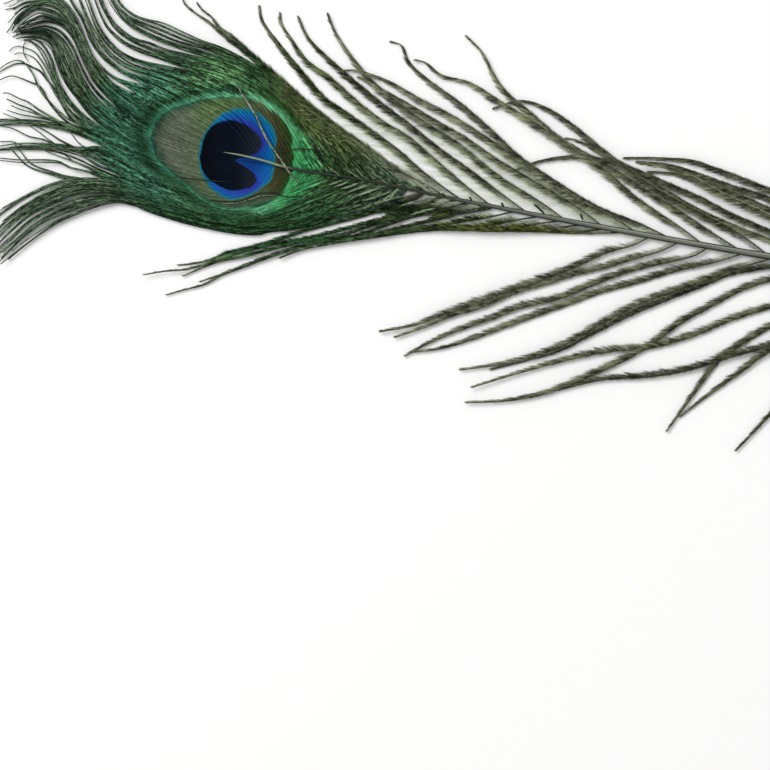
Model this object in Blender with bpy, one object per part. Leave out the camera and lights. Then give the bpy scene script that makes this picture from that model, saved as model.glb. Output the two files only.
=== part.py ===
"""A loose tail feather with an eye, lying face up on a flat surface.

The shaft runs along +X to the cut quill, and its fine end stops in the notch of
the eye. The origin is on the resting surface under the middle of the eye, +Y is
the side of the fuller vane and +Z is up. The closed vane round the eye is one
thin crowned plate, and the barbs are tapered locks that leave the shaft on both
sides, run over the plate or hang free, and end as loose strands. Shaft, plate
and locks have grown together, so they are fused into one solid.
"""
import math

import bmesh
import bpy
from mathutils import Vector

MM = 0.001

# Shaft: (distance along X, across on Y, height of the axis, radius), in mm.
SHAFT = (
    (-1, -1.5, 0.75, 0.30),
    (29, -6, 1.05, 0.32),
    (61, -12.5, 1.5, 0.42),
    (100, -20, 2.1, 0.62),
    (146, -28, 2.3, 0.90),
    (190, -34.5, 2.0, 1.25),
    (230, -39, 1.5, 1.55),
)
SHAFT_STATIONS = 16
SHAFT_SIDES = 8

# Closed vane round the eye: the outline of its plate, in mm.
PLATE_OUTLINE = (
    (51, -10), (42, -1), (30, 9), (17, 17), (4, 22), (-10, 23), (-21, 21), (-30, 16),
    (-36, 10), (-36, 3), (-34, -5), (-28, -11), (-20, -16), (-8, -20), (4, -20),
    (16, -20), (30, -17), (43, -13),
)
PLATE_CENTRE = (0.0, 2.0)
PLATE_CROWN = 1.25
PLATE_EDGE = 0.65
PLATE_RING = 0.55

# Barbs that guide the locks. Each is where it leaves the shaft, as a distance
# along X, and the places it passes on its way to the tip, in mm.
UPPER_BARBS = (
    (-1, ((-10, 2), (-21, 7), (-32, 13), (-43, 26), (-46, 32), (-52, 36), (-62, 34))),
    (1.2, ((-8, 4), (-20, 10), (-30, 16), (-37, 22), (-41, 27), (-46, 38), (-56, 42), (-64, 40))),
    (2, ((-7, 4), (-14, 10), (-26, 17), (-34, 21), (-42, 30), (-46, 36), (-54, 46))),
    (8, ((1, 10), (-8, 16), (-16, 20), (-24, 22), (-36, 28), (-42, 37), (-46, 48))),
    (18, ((7, 14), (-10, 24), (-18, 26), (-30, 30), (-38, 38), (-41, 50))),
    (29, ((15, 12), (-4, 24), (-12, 27), (-25, 31), (-37, 40), (-40, 52))),
    (40, ((24, 8), (3, 24), (-7, 28), (-20, 32), (-32, 38), (-38, 52))),
    (50, ((36, 2), (25, 10), (14, 19), (4, 25), (-11, 32), (-28, 38), (-36, 50))),
    (53.5, ((41, -2), (25, 10), (10, 22), (-3, 32), (-16, 43))),
    (56, ((44, -4), (26, 9), (11, 22), (-2, 32), (-12, 42))),
    (61, ((50, -4), (36, 7), (23, 16), (12, 30), (6, 41))),
    (69, ((55, -2), (47, 4), (32, 15), (19, 26), (12, 39))),
    (79, ((64, -4), (55, 2), (41, 12), (25, 26), (16, 38))),
    (89.5, ((72, -6), (60, 3), (50, 10), (36, 22), (24, 39))),
    (100, ((81, -8), (70, -1), (54, 10), (32, 22))),
    (109.5, ((91, -12), (80, -4), (58, 11), (41, 20), (28, 24))),
    (119, ((99, -14), (88, -8), (77, 0), (69, 7), (52, 20), (42, 32))),
    (127.5, ((110, -12), (100, -4), (91, 2), (80, 10), (64, 20), (48, 26))),
    (138, ((129, -21), (108, -7), (96, 0), (80, 11), (72, 18), (62, 32))),
    (145.5, ((126, -16), (116, -10), (99, 2), (84, 13), (70, 13))),
    (153, ((138, -20), (126, -15), (118, -10), (102, 0), (90, 5))),
    (160, ((146, -21), (126, -12), (108, -4), (96, 0), (75, -4))),
    (168, ((154, -22), (146, -17), (138, -13), (126, -6), (110, -2))),
    (177, ((157, -21), (146, -15), (126, -7), (112, -4))),
    (187, ((168, -24), (157, -17), (146, -12), (126, -6), (109, -2))),
    (197, ((179, -26), (168, -20), (157, -14), (138, -6), (124, -2), (106, -1))),
    (206, ((193, -30), (183, -23), (172, -16), (156, -7))),
    (213, ((206, -32), (185, -18), (176, -14))),
)
LOWER_BARBS = (
    (0, ((-10, -1), (-22, 3), (-32, 9), (-44, 21), (-46, 26), (-52, 34), (-62, 34))),
    (2.9, ((-7, -5), (-18, -2), (-31, 3), (-41, 8), (-48, 13), (-52, 24), (-59, 32))),
    (4.5, ((-5, -6), (-16, -4), (-30, 1), (-40, 5), (-52, 14), (-58, 20), (-66, 20))),
    (6, ((-1, -10), (-14, -8), (-28, -2), (-36, 2), (-47, 7), (-60, 9), (-72, 8))),
    (13, ((3, -13), (-10, -13), (-25, -6), (-32, -2), (-44, 1), (-55, 2), (-70, 0))),
    (16, ((6, -16), (-8, -16), (-25, -10), (-33, -8), (-42, -4), (-54, -2), (-69, -1))),
    (20, ((9, -16), (-5, -18), (-20, -12), (-32, -8), (-47, -8), (-58, -12), (-69, -20))),
    (30, ((14, -12), (4, -16), (-7, -18), (-18, -15), (-39, -10), (-46, -10), (-58, -16), (-70, -27))),
    (36, ((20, -13), (10, -17), (-2, -19), (-14, -17), (-36, -12), (-44, -12), (-57, -18), (-69, -30))),
    (45, ((29, -15), (20, -18), (3, -21), (-8, -20), (-21, -16), (-38, -14), (-55, -22), (-66, -30))),
    (50, ((34, -16), (26, -18), (12, -23), (-3, -27), (-17, -30))),
    (59, ((44, -17), (28, -22), (18, -24), (2, -28), (-16, -34))),
    (69, ((54, -18), (36, -22), (18, -26), (-5, -34), (-20, -39))),
    (76, ((60, -18), (42, -22), (24, -25), (11, -28))),
    (89, ((73, -20), (62, -21), (52, -21), (40, -22))),
    (101, ((94, -21), (73, -21), (64, -20), (55, -20))),
    (107, ((91, -22), (80, -21), (60, -20))),
    (113, ((100, -27), (84, -34), (64, -41), (56, -44), (38, -48))),
    (121, ((108, -28), (92, -33), (76, -38), (59, -44), (42, -50))),
    (129, ((113, -30), (96, -36), (77, -42), (60, -48), (46, -56))),
    (139, ((120, -32), (99, -38), (82, -44), (64, -51), (47, -54))),
    (148, ((128, -34), (110, -41), (100, -46), (82, -55), (60, -59))),
    (156, ((135, -33), (118, -40), (108, -44), (88, -54), (69, -60))),
    (166, ((146, -34), (129, -42), (113, -52), (96, -61), (85, -66), (62, -68))),
    (177, ((157, -39), (135, -46), (113, -53), (91, -56), (64, -64))),
    (187, ((179, -38), (157, -44), (146, -48), (138, -52), (126, -64), (118, -76))),
    (196, ((173, -43), (146, -52), (124, -59), (99, -62), (77, -66))),
    (204, ((182, -45), (168, -48), (157, -51), (138, -60), (121, -72))),
    (209, ((189, -43), (170, -52), (155, -62), (146, -71), (136, -81))),
    (215, ((202, -43), (188, -52), (177, -62), (171, -69))),
)

# The two sides' barbs leave the shaft in turn, never from one place, in mm.
LOWER_SHIFT = 0.35

# Locks: one along each barb above, and in the closed vane, whose barbs leave the
# shaft before CLOSED_END, one halfway between neighbours that leave it further
# apart than CLOSE_ROOTS, in mm.
CLOSE_ROOTS = 6
CLOSED_END = 52
PATH_STEPS = 6
HALFWAY_STEPS = 4
HALFWAY_LENGTH = 0.93
LOCK_STATIONS = 9
LOCK_WIDTH = 2.3
LOCK_WIDTH_ROOT = 0.9
LOCK_WIDTH_TIP = 0.5
LOCK_THICKNESS = 0.9
LOCK_THICKNESS_TIP = 0.45
LOCK_FOOT = 0.45
LOCK_REST = 0.75
LOCK_STAGGER = 0.15
LOCK_LEVELS = 5
LOCK_ARCH = 0.9
WELD = 0.001

# A lock is broadest, and down off the shaft, at this share of its length. Past
# that it narrows by this power, and it leaves the plate over this share of a reach.
LOCK_SPREAD = 0.25
LOCK_TAPER = 1.6
RIM_BLEND = 0.25

BARB_GREEN = (0.045, 0.07, 0.03, 1.0)
BARB_ROUGHNESS = 0.55


def smooth_path(points, steps):
    """A smooth curve through the points, with this many steps between each two."""
    ends = [points[0] * 2 - points[1]] + list(points) + [points[-1] * 2 - points[-2]]
    path = []
    for before, start, end, after in zip(ends, ends[1:], ends[2:], ends[3:]):
        for step in range(steps):
            t = step / steps
            path.append(0.5 * (
                2 * start
                + (end - before) * t
                + (2 * before - 5 * start + 4 * end - after) * t ** 2
                + (3 * start - before - 3 * end + after) * t ** 3
            ))
    return path + [points[-1]]


def evenly(path, count):
    """The same path as this many points at equal distances along it."""
    reached = [0.0]
    for here, there in zip(path, path[1:]):
        reached.append(reached[-1] + (there - here).length)
    spots = []
    span = 0
    for index in range(count):
        wanted = reached[-1] * index / (count - 1)
        while span < len(path) - 2 and reached[span + 1] < wanted:
            span += 1
        share = (wanted - reached[span]) / (reached[span + 1] - reached[span])
        spots.append(path[span].lerp(path[span + 1], min(share, 1.0)))
    return spots


def shaft_at(x):
    """The shaft's axis (X, Y, Z) and radius at a distance along X, in mm."""
    rows = smooth_path([Vector(row) for row in SHAFT], 8)
    for row, after in zip(rows, rows[1:]):
        if x <= after.x or after is rows[-1]:
            share = (x - row.x) / (after.x - row.x)
            x_at, y_at, z_at, radius = row.lerp(after, share)
            return Vector((x_at, y_at, z_at)), radius


def plate_reach(spot, ring):
    """How far a spot is from the plate's centre, as a share of the way to its rim."""
    centre = Vector(PLATE_CENTRE)
    away = spot - centre
    for start, end in zip(ring, ring[1:] + ring[:1]):
        start_away = start - centre
        side = end - start
        turn = away.cross(side)
        if abs(turn) < 1e-9:
            continue
        along = start_away.cross(away) / turn
        reach = start_away.cross(side) / turn
        if -1e-6 <= along <= 1 + 1e-6 and reach > 0:
            return 1 / reach
    return 0.0


def plate_top(reach):
    """The height of the plate's upper side at a share of the way to its rim."""
    ring_top = PLATE_CROWN - (PLATE_CROWN - PLATE_EDGE) * PLATE_RING ** 2
    if reach < PLATE_RING:
        return PLATE_CROWN + (ring_top - PLATE_CROWN) * reach / PLATE_RING
    share = min((reach - PLATE_RING) / (1 - PLATE_RING), 1.0)
    return ring_top + (PLATE_EDGE - ring_top) * share


def add_tube(mesh, rings):
    """Closed tube through rings of the same number of points."""
    loops = [[mesh.verts.new(point * MM) for point in ring] for ring in rings]
    for loop, after in zip(loops, loops[1:]):
        for index in range(len(loop)):
            beside = (index + 1) % len(loop)
            mesh.faces.new((loop[index], loop[beside], after[beside], after[index]))
    mesh.faces.new(reversed(loops[0]))
    mesh.faces.new(loops[-1])


def add_plate(mesh, ring):
    """The closed vane: flat below, crowned above."""
    centre = Vector(PLATE_CENTRE)
    lower = [mesh.verts.new(point.to_3d() * MM) for point in ring]
    upper = []
    for share in (1.0, PLATE_RING):
        height = plate_top(share)
        spots = [centre.lerp(point, share) for point in ring]
        upper.append([mesh.verts.new(Vector((*spot, height)) * MM) for spot in spots])
    crown = mesh.verts.new(Vector((*centre, PLATE_CROWN)) * MM)
    loops = [lower] + upper
    count = len(ring)
    for loop, after in zip(loops, loops[1:]):
        for index in range(count):
            beside = (index + 1) % count
            mesh.faces.new((loop[index], loop[beside], after[beside], after[index]))
    for index in range(count):
        mesh.faces.new((upper[1][index], upper[1][(index + 1) % count], crown))
    mesh.faces.new(lower)


def shaft_rings():
    """Eight-sided rings along the shaft, with a flat side down."""
    start, end = SHAFT[0][0], SHAFT[-1][0]
    rings = []
    for station in range(SHAFT_STATIONS):
        x = start + (end - start) * station / (SHAFT_STATIONS - 1)
        centre, radius = shaft_at(x)
        ring = []
        for side in range(SHAFT_SIDES):
            angle = 2 * math.pi * (side + 0.5) / SHAFT_SIDES
            across = math.cos(angle) * radius
            up = math.sin(angle) * radius / math.cos(math.pi / SHAFT_SIDES)
            ring.append(centre + Vector((0, across, max(up, -centre.z))))
        rings.append(ring)
    return rings


def barb_path(barb, shift):
    """A barb's route seen from above, from its root on the shaft to its tip."""
    root_x, places = barb
    root, _ = shaft_at(root_x + shift)
    points = [root.to_2d()] + [Vector(place) for place in places]
    return evenly(smooth_path(points, PATH_STEPS), LOCK_STATIONS)


def lock_heights(path, ring, level):
    """Heights of a lock's middle: down from the shaft, over the plate, to rest."""
    root, _ = shaft_at(path[0].x)
    heights = []
    for index, spot in enumerate(path):
        share = index / (LOCK_STATIONS - 1)
        reach = plate_reach(spot, ring)
        arch = LOCK_ARCH * math.sin(math.pi * share) * min(1.0, max(reach - 1.0, 0.0))
        resting = LOCK_REST + arch
        if reach < 1 + RIM_BLEND:
            beyond = max(reach - 1.0, 0.0) / RIM_BLEND
            on_plate = plate_top(min(reach, 1.0)) + LOCK_STAGGER
            resting = on_plate + (resting - on_plate) * beyond
        falling = min(share / LOCK_SPREAD, 1.0)
        heights.append(root.z + (resting + level * LOCK_STAGGER - root.z) * falling)
    return heights


def lock_rings(path, heights):
    """Three-sided rings along a lock, ridge up: broad in the middle, narrow at the ends."""
    rings = []
    for index, spot in enumerate(path):
        share = index / (len(path) - 1)
        ahead = path[min(index + 1, len(path) - 1)]
        behind = path[max(index - 1, 0)]
        across = (ahead - behind).normalized().orthogonal().to_3d()
        if share < LOCK_SPREAD:
            width = LOCK_WIDTH_ROOT + (LOCK_WIDTH - LOCK_WIDTH_ROOT) * share / LOCK_SPREAD
        else:
            narrowing = ((share - LOCK_SPREAD) / (1 - LOCK_SPREAD)) ** LOCK_TAPER
            width = LOCK_WIDTH + (LOCK_WIDTH_TIP - LOCK_WIDTH) * narrowing
        thickness = LOCK_THICKNESS + (LOCK_THICKNESS_TIP - LOCK_THICKNESS) * share
        foot = Vector((*spot, heights[index] - thickness * LOCK_FOOT))
        rings.append([
            foot - across * width / 2,
            foot + across * width / 2,
            foot + Vector((0, 0, thickness)),
        ])
    return rings


def locks_of(barbs, shift, ring):
    """Rings of every lock of one vane: on each barb and halfway between two."""
    paths = [barb_path(barb, shift) for barb in barbs]
    every = [paths[0]]
    for path, after in zip(paths, paths[1:]):
        if after[0].x < CLOSED_END and after[0].x - path[0].x > CLOSE_ROOTS:
            middle = [spot.lerp(beside, 0.5) for spot, beside in zip(path, after)]
            path_between = smooth_path(middle, HALFWAY_STEPS)
            kept = path_between[: int(len(path_between) * HALFWAY_LENGTH)]
            every.append(evenly(kept, LOCK_STATIONS))
        every.append(after)
    rings = []
    for index, path in enumerate(every):
        level = index * 2 % LOCK_LEVELS - LOCK_LEVELS // 2
        heights = lock_heights(path, ring, level)
        rings.append(lock_rings(path, heights))
    return rings


def object_from(mesh, name):
    """A scene object from a finished bmesh, in triangles that point out."""
    bmesh.ops.triangulate(mesh, faces=mesh.faces)
    bmesh.ops.recalc_face_normals(mesh, faces=mesh.faces)
    data = bpy.data.meshes.new(name)
    mesh.to_mesh(data)
    mesh.free()
    thing = bpy.data.objects.new(name, data)
    bpy.context.scene.collection.objects.link(thing)
    return thing


def skins_of(mesh):
    """The connected surfaces of a mesh, each as a list of its points."""
    skins = []
    met = set()
    for start in mesh.verts:
        if start in met:
            continue
        met.add(start)
        skin = [start]
        for point in skin:
            beside = [edge.other_vert(point) for edge in point.link_edges]
            fresh = [other for other in beside if other not in met]
            met.update(fresh)
            skin += fresh
        skins.append(skin)
    return skins


def grow_together(shaft, vanes):
    """Join the vanes to the shaft, and fill the pockets shut in between locks."""
    union = shaft.modifiers.new("grown_together", "BOOLEAN")
    union.operation = "UNION"
    union.solver = "EXACT"
    union.use_self = True
    union.object = vanes
    joined = shaft.evaluated_get(bpy.context.evaluated_depsgraph_get())
    mesh = bmesh.new()
    mesh.from_mesh(joined.to_mesh())
    shaft.modifiers.clear()
    bpy.data.objects.remove(vanes)
    bmesh.ops.triangulate(mesh, faces=mesh.faces)
    bmesh.ops.remove_doubles(mesh, verts=mesh.verts, dist=WELD * MM)
    outer = max(skins_of(mesh), key=len)
    pockets = set(mesh.verts) - set(outer)
    bmesh.ops.delete(mesh, geom=list(pockets), context="VERTS")
    mesh.to_mesh(shaft.data)
    mesh.free()


def barb_material():
    """Dark green horn, half glossy."""
    material = bpy.data.materials.new("barb_green")
    material.use_nodes = True
    shader = material.node_tree.nodes["Principled BSDF"]
    shader.inputs["Base Color"].default_value = BARB_GREEN
    shader.inputs["Roughness"].default_value = BARB_ROUGHNESS
    shader.inputs["Metallic"].default_value = 0.0
    return material


def build_feather():
    """Shaft, plate and locks, joined into one solid."""
    ring = [Vector(point) for point in PLATE_OUTLINE]
    shaft_mesh = bmesh.new()
    add_tube(shaft_mesh, shaft_rings())
    feather = object_from(shaft_mesh, "feather")

    vane_mesh = bmesh.new()
    add_plate(vane_mesh, ring)
    for barbs, shift in ((UPPER_BARBS, 0.0), (LOWER_BARBS, LOWER_SHIFT)):
        for rings in locks_of(barbs, shift, ring):
            add_tube(vane_mesh, rings)
    grow_together(feather, object_from(vane_mesh, "vanes"))
    feather.data.materials.append(barb_material())


for leftover in list(bpy.data.objects):
    bpy.data.objects.remove(leftover)
build_feather()
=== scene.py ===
"""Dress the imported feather: shaft, closed eye vane, crest strands and loose barbs.

Every barb is read between guide barbs, then gets a ramus and rows of barbules.
Lengths in this file are millimetres unless a name says otherwise, and meshes are
written in metres. +X runs to the quill, +Y to the fuller vane.
"""
import logging
import math
from dataclasses import dataclass, field
from enum import Enum
from functools import reduce
from typing import Callable, Self

import bpy
import numpy as np
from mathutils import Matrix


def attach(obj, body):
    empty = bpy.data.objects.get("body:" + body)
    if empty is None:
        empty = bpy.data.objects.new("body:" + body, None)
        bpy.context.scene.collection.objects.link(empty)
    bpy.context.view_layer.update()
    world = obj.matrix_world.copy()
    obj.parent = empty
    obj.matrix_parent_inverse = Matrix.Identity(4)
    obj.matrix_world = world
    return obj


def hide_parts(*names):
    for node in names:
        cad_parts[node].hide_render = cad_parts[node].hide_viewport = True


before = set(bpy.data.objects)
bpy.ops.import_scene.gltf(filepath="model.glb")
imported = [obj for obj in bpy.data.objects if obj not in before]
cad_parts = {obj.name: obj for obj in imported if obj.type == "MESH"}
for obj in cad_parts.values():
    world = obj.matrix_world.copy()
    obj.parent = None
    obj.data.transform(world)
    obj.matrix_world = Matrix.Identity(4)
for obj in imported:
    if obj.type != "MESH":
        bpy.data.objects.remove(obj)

MM = 0.001
NODE = "feather"
LOG = logging.getLogger(NODE)

PHOTO_PIXELS = 770
MM_PER_PIXEL = 0.275
EYE_PIXEL = (240, 155)

# Shaft: (distance along X, across on Y, height of the axis, radius).
SHAFT_ROWS = (
    (-1, -1.5, 0.75, 0.28),
    (29, -6, 1.0, 0.34),
    (61, -12.5, 1.45, 0.55),
    (100, -20, 2.0, 0.8),
    (146, -28, 2.1, 0.98),
    (190, -34.5, 1.9, 1.2),
    (230, -39, 1.5, 1.42),
)
# The shaft's bare fine end, lying over the eye.
SHAFT_END = (
    (29, -6, 1.6, 0.36), (20, -4.8, 1.8, 0.38), (12.4, -3.4, 1.95, 0.4),
    (6, -1.5, 1.95, 0.36), (0, -0.1, 1.95, 0.28), (-4.5, 0.7, 1.9, 0.08),
)

# Rim of the closed vane, where it lies as one sheet.
VANE_RIM = (
    (51, -10), (42, -1), (30, 9), (17, 17), (4, 22), (-10, 23), (-21, 21), (-30, 16),
    (-36, 10), (-36, 3), (-34, -5), (-28, -12), (-20, -15.5), (-8, -18), (4, -20),
    (16, -19.5), (30, -17), (43, -15),
)
VANE_CENTRE = (0.0, 2.0)

# Guide barbs: where each leaves the shaft along X, how many barbs stand between it and
# the next guide out, and the places it passes.
UPPER_GUIDES = (
    (-1, 7, ((-10, 2), (-21, 7), (-31.5, 13), (-39, 19.5), (-43, 26), (-45.5, 31.5), (-49, 35.5),
             (-52.5, 36.5), (-55.5, 36), (-59, 35), (-62, 34))),
    (0, 7, ((-9.5, 2.5), (-20.5, 7.5), (-31, 14), (-38.5, 20.5), (-42, 26.5), (-44.5, 32),
            (-47.5, 36.5), (-50.5, 39), (-53.5, 40), (-56, 40.5), (-58.5, 39), (-61, 36.5),
            (-62.5, 34))),
    (0.7, 4, ((-9, 4), (-20, 9), (-30.5, 15), (-37.5, 21), (-41, 27), (-43.5, 32), (-46.5, 37),
              (-49.5, 40), (-52.5, 41.5), (-55.5, 41.5), (-58, 40), (-61, 38), (-62.5, 35.5),
              (-64, 33.5))),
    (1.2, 3, ((-8, 4.5), (-20, 9.5), (-30.5, 15.5), (-37, 21.5), (-41, 27), (-43.5, 32.5),
              (-46, 37.5), (-49, 40.5), (-52.5, 42.5), (-55.5, 42.5), (-59, 42), (-62, 40.5),
              (-64.5, 40))),
    (1.6, 3, ((-7.5, 4.5), (-19, 10), (-30, 16), (-37, 21.5), (-40.5, 27), (-43, 32.5), (-45.5, 38),
              (-48.5, 42), (-51.5, 44), (-55, 45), (-58.5, 44.5), (-62.5, 42.5), (-65, 41.5))),
    (2, 5, ((-7, 4.5), (-14.5, 9.5), (-20, 14), (-25.5, 17), (-30.5, 19), (-34.5, 21),
            (-37.5, 23.5), (-40, 26.5), (-42, 29.5), (-44, 32.5), (-46, 36.5), (-48.5, 40),
            (-50.5, 43), (-53.5, 46.5))),
    (5, 3, ((-3.5, 7.5), (-12, 13), (-18.5, 17.5), (-24, 20), (-29, 21.5), (-32.5, 23), (-36, 25.5),
            (-38.5, 28), (-40.5, 31), (-42, 34.5), (-43.5, 38), (-45.5, 41), (-47, 44),
            (-49, 47.5))),
    (8, 3, ((1, 10), (-8, 15.5), (-16.5, 19.5), (-23.5, 22), (-29, 23.5), (-32.5, 25),
            (-35.5, 27.5), (-38, 30.5), (-40, 33.5), (-41.5, 37), (-43, 40.5), (-44, 43.5),
            (-45.5, 48))),
    (12, 4, ((3.5, 11.5), (-5, 17.5), (-14, 21), (-21.5, 23.5), (-28, 25.5), (-32, 27), (-35, 29.5),
             (-37.5, 32), (-39.5, 35.5), (-40.5, 39), (-41.5, 42), (-42.5, 46), (-44, 50.5))),
    (18, 6, ((7, 14), (-1, 20), (-10.5, 23.5), (-18.5, 26), (-25.5, 28), (-30.5, 30), (-33.5, 32),
             (-36.5, 35), (-38, 38), (-39.5, 41.5), (-40.5, 45), (-41, 49.5))),
    (29, 6, ((15, 12), (6, 19.5), (-3.5, 24.5), (-12.5, 27), (-20.5, 29), (-25, 31), (-29, 32),
             (-32, 34), (-35, 37), (-37, 40.5), (-38, 43.5), (-39.5, 48), (-40, 52))),
    (40, 6, ((24, 8), (14, 16.5), (3, 24), (-7, 28.5), (-16.5, 31), (-20.5, 32.5), (-25, 34.5),
             (-28.5, 36), (-31.5, 38), (-34, 40.5), (-35.5, 43.5), (-37, 48), (-38, 52))),
    (50, 0, ((35.5, 1), (25, 9), (14, 18), (4, 24.5), (-4, 29), (-11, 31.5), (-16.5, 34), (-21, 36),
             (-25.5, 37), (-28.5, 38), (-31.5, 40), (-33.5, 42.5), (-34.5, 46), (-36, 50))),
    (53.5, 0, ((49.5, -7.5), (41, -3), (33, 3), (25, 9), (16, 16), (9, 22), (3, 27.5),
               (-3, 32), (-8, 36), (-12.5, 39), (-15, 41), (-16, 43))),
    (56, 0, ((52.5, -9), (44, -4.5), (36, 1.5), (26, 8.5), (17, 16), (11, 21.5), (4, 27.5),
             (-1.5, 32.5), (-5, 35), (-7.5, 38), (-10, 40), (-11.5, 42))),
    (61, 0, ((56, -9), (49.5, -4), (44, 1), (36, 7), (28, 12.5), (23, 16), (17, 23), (11.5, 30),
             (7, 36.5), (6, 41))),
    (69, 0, ((62, -8.5), (55, -2.5), (47, 4.5), (39, 9.5), (32, 15), (25, 21.5), (19, 26),
             (15, 31.5), (12, 36), (11.5, 39))),
    (79, 0, ((71.5, -10.5), (63.5, -4.5), (55, 1.5), (47, 8), (41, 12.5), (33, 19), (25, 26),
             (19, 32), (16, 38))),
    (89.5, 0, ((82.5, -13), (71.5, -6), (60.5, 3), (49.5, 10), (41, 16.5), (35.5, 21.5), (30, 28.5),
               (26.5, 34), (24.5, 39))),
    (100, 0, ((92, -14), (81, -7.5), (70, -1), (62, 4.5), (53.5, 9.5), (45.5, 14.5), (38.5, 18.5),
              (32.5, 21.5))),
    (109.5, 0, ((102, -17), (91, -11.5), (80, -4), (69, 4), (58, 11), (49.5, 15.5), (41, 20.5),
                (32.5, 23.5), (27.5, 23.5))),
    (119, 0, ((110, -19), (99, -14.5), (88, -8), (77, -0.5), (69, 7), (60.5, 14.5), (52.5, 20.5),
              (47, 25.5), (45, 30), (41.5, 31.5))),
    (127.5, 0, ((121, -20), (110, -12.5), (100.5, -4.5), (91, 2), (80, 9.5), (71.5, 15), (63.5, 20),
                (55.5, 22), (51.5, 25), (48, 26))),
    (138, 0, ((129, -21), (118.5, -14), (107.5, -7), (96.5, -0.5), (88, 4.5), (80, 11),
              (71.5, 18.5), (66.5, 27.5), (62, 32.5))),
    (145.5, 0, ((137.5, -22), (126.5, -16), (115.5, -10), (107.5, -4.5), (99, 2), (91, 8.5),
                (84, 13), (77, 15), (69.5, 13))),
    (153, 0, ((146, -23.5), (137.5, -20), (126.5, -15), (118.5, -10.5), (110, -5), (102, -0.5),
              (93.5, 4), (89.5, 5))),
    (160, 0, ((154, -25.5), (146, -21), (135, -16), (126.5, -11.5), (118.5, -8), (107.5, -3.5),
              (96.5, -0.5), (88, -0.5), (80, -2), (75, -4))),
    (168, 0, ((162, -28), (154, -22.5), (146, -17), (137.5, -13), (130.5, -9.5), (125.5, -6.5),
              (118.5, -3.5), (110, -2))),
    (177, 0, ((168, -28), (157, -21), (146, -15), (135, -10), (126.5, -7), (119.5, -5),
              (112, -4.5))),
    (187, 0, ((179, -30), (168, -23.5), (157, -17), (146, -12), (135, -8.5), (126.5, -5.5),
              (118.5, -3), (109, -2))),
    (197, 0, ((190, -32), (179, -25.5), (168, -19.5), (157, -14.5), (146, -9.5), (137.5, -6),
              (130.5, -3.5), (124, -1.5), (114, -1), (105.5, -1))),
    (206, 0, ((193, -29.5), (183, -23), (172.5, -16), (163.5, -10.5), (155.5, -7))),
    (213, 0, ((206.5, -31.5), (195.5, -24), (185, -18.5), (176, -14.5))),
)
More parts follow.
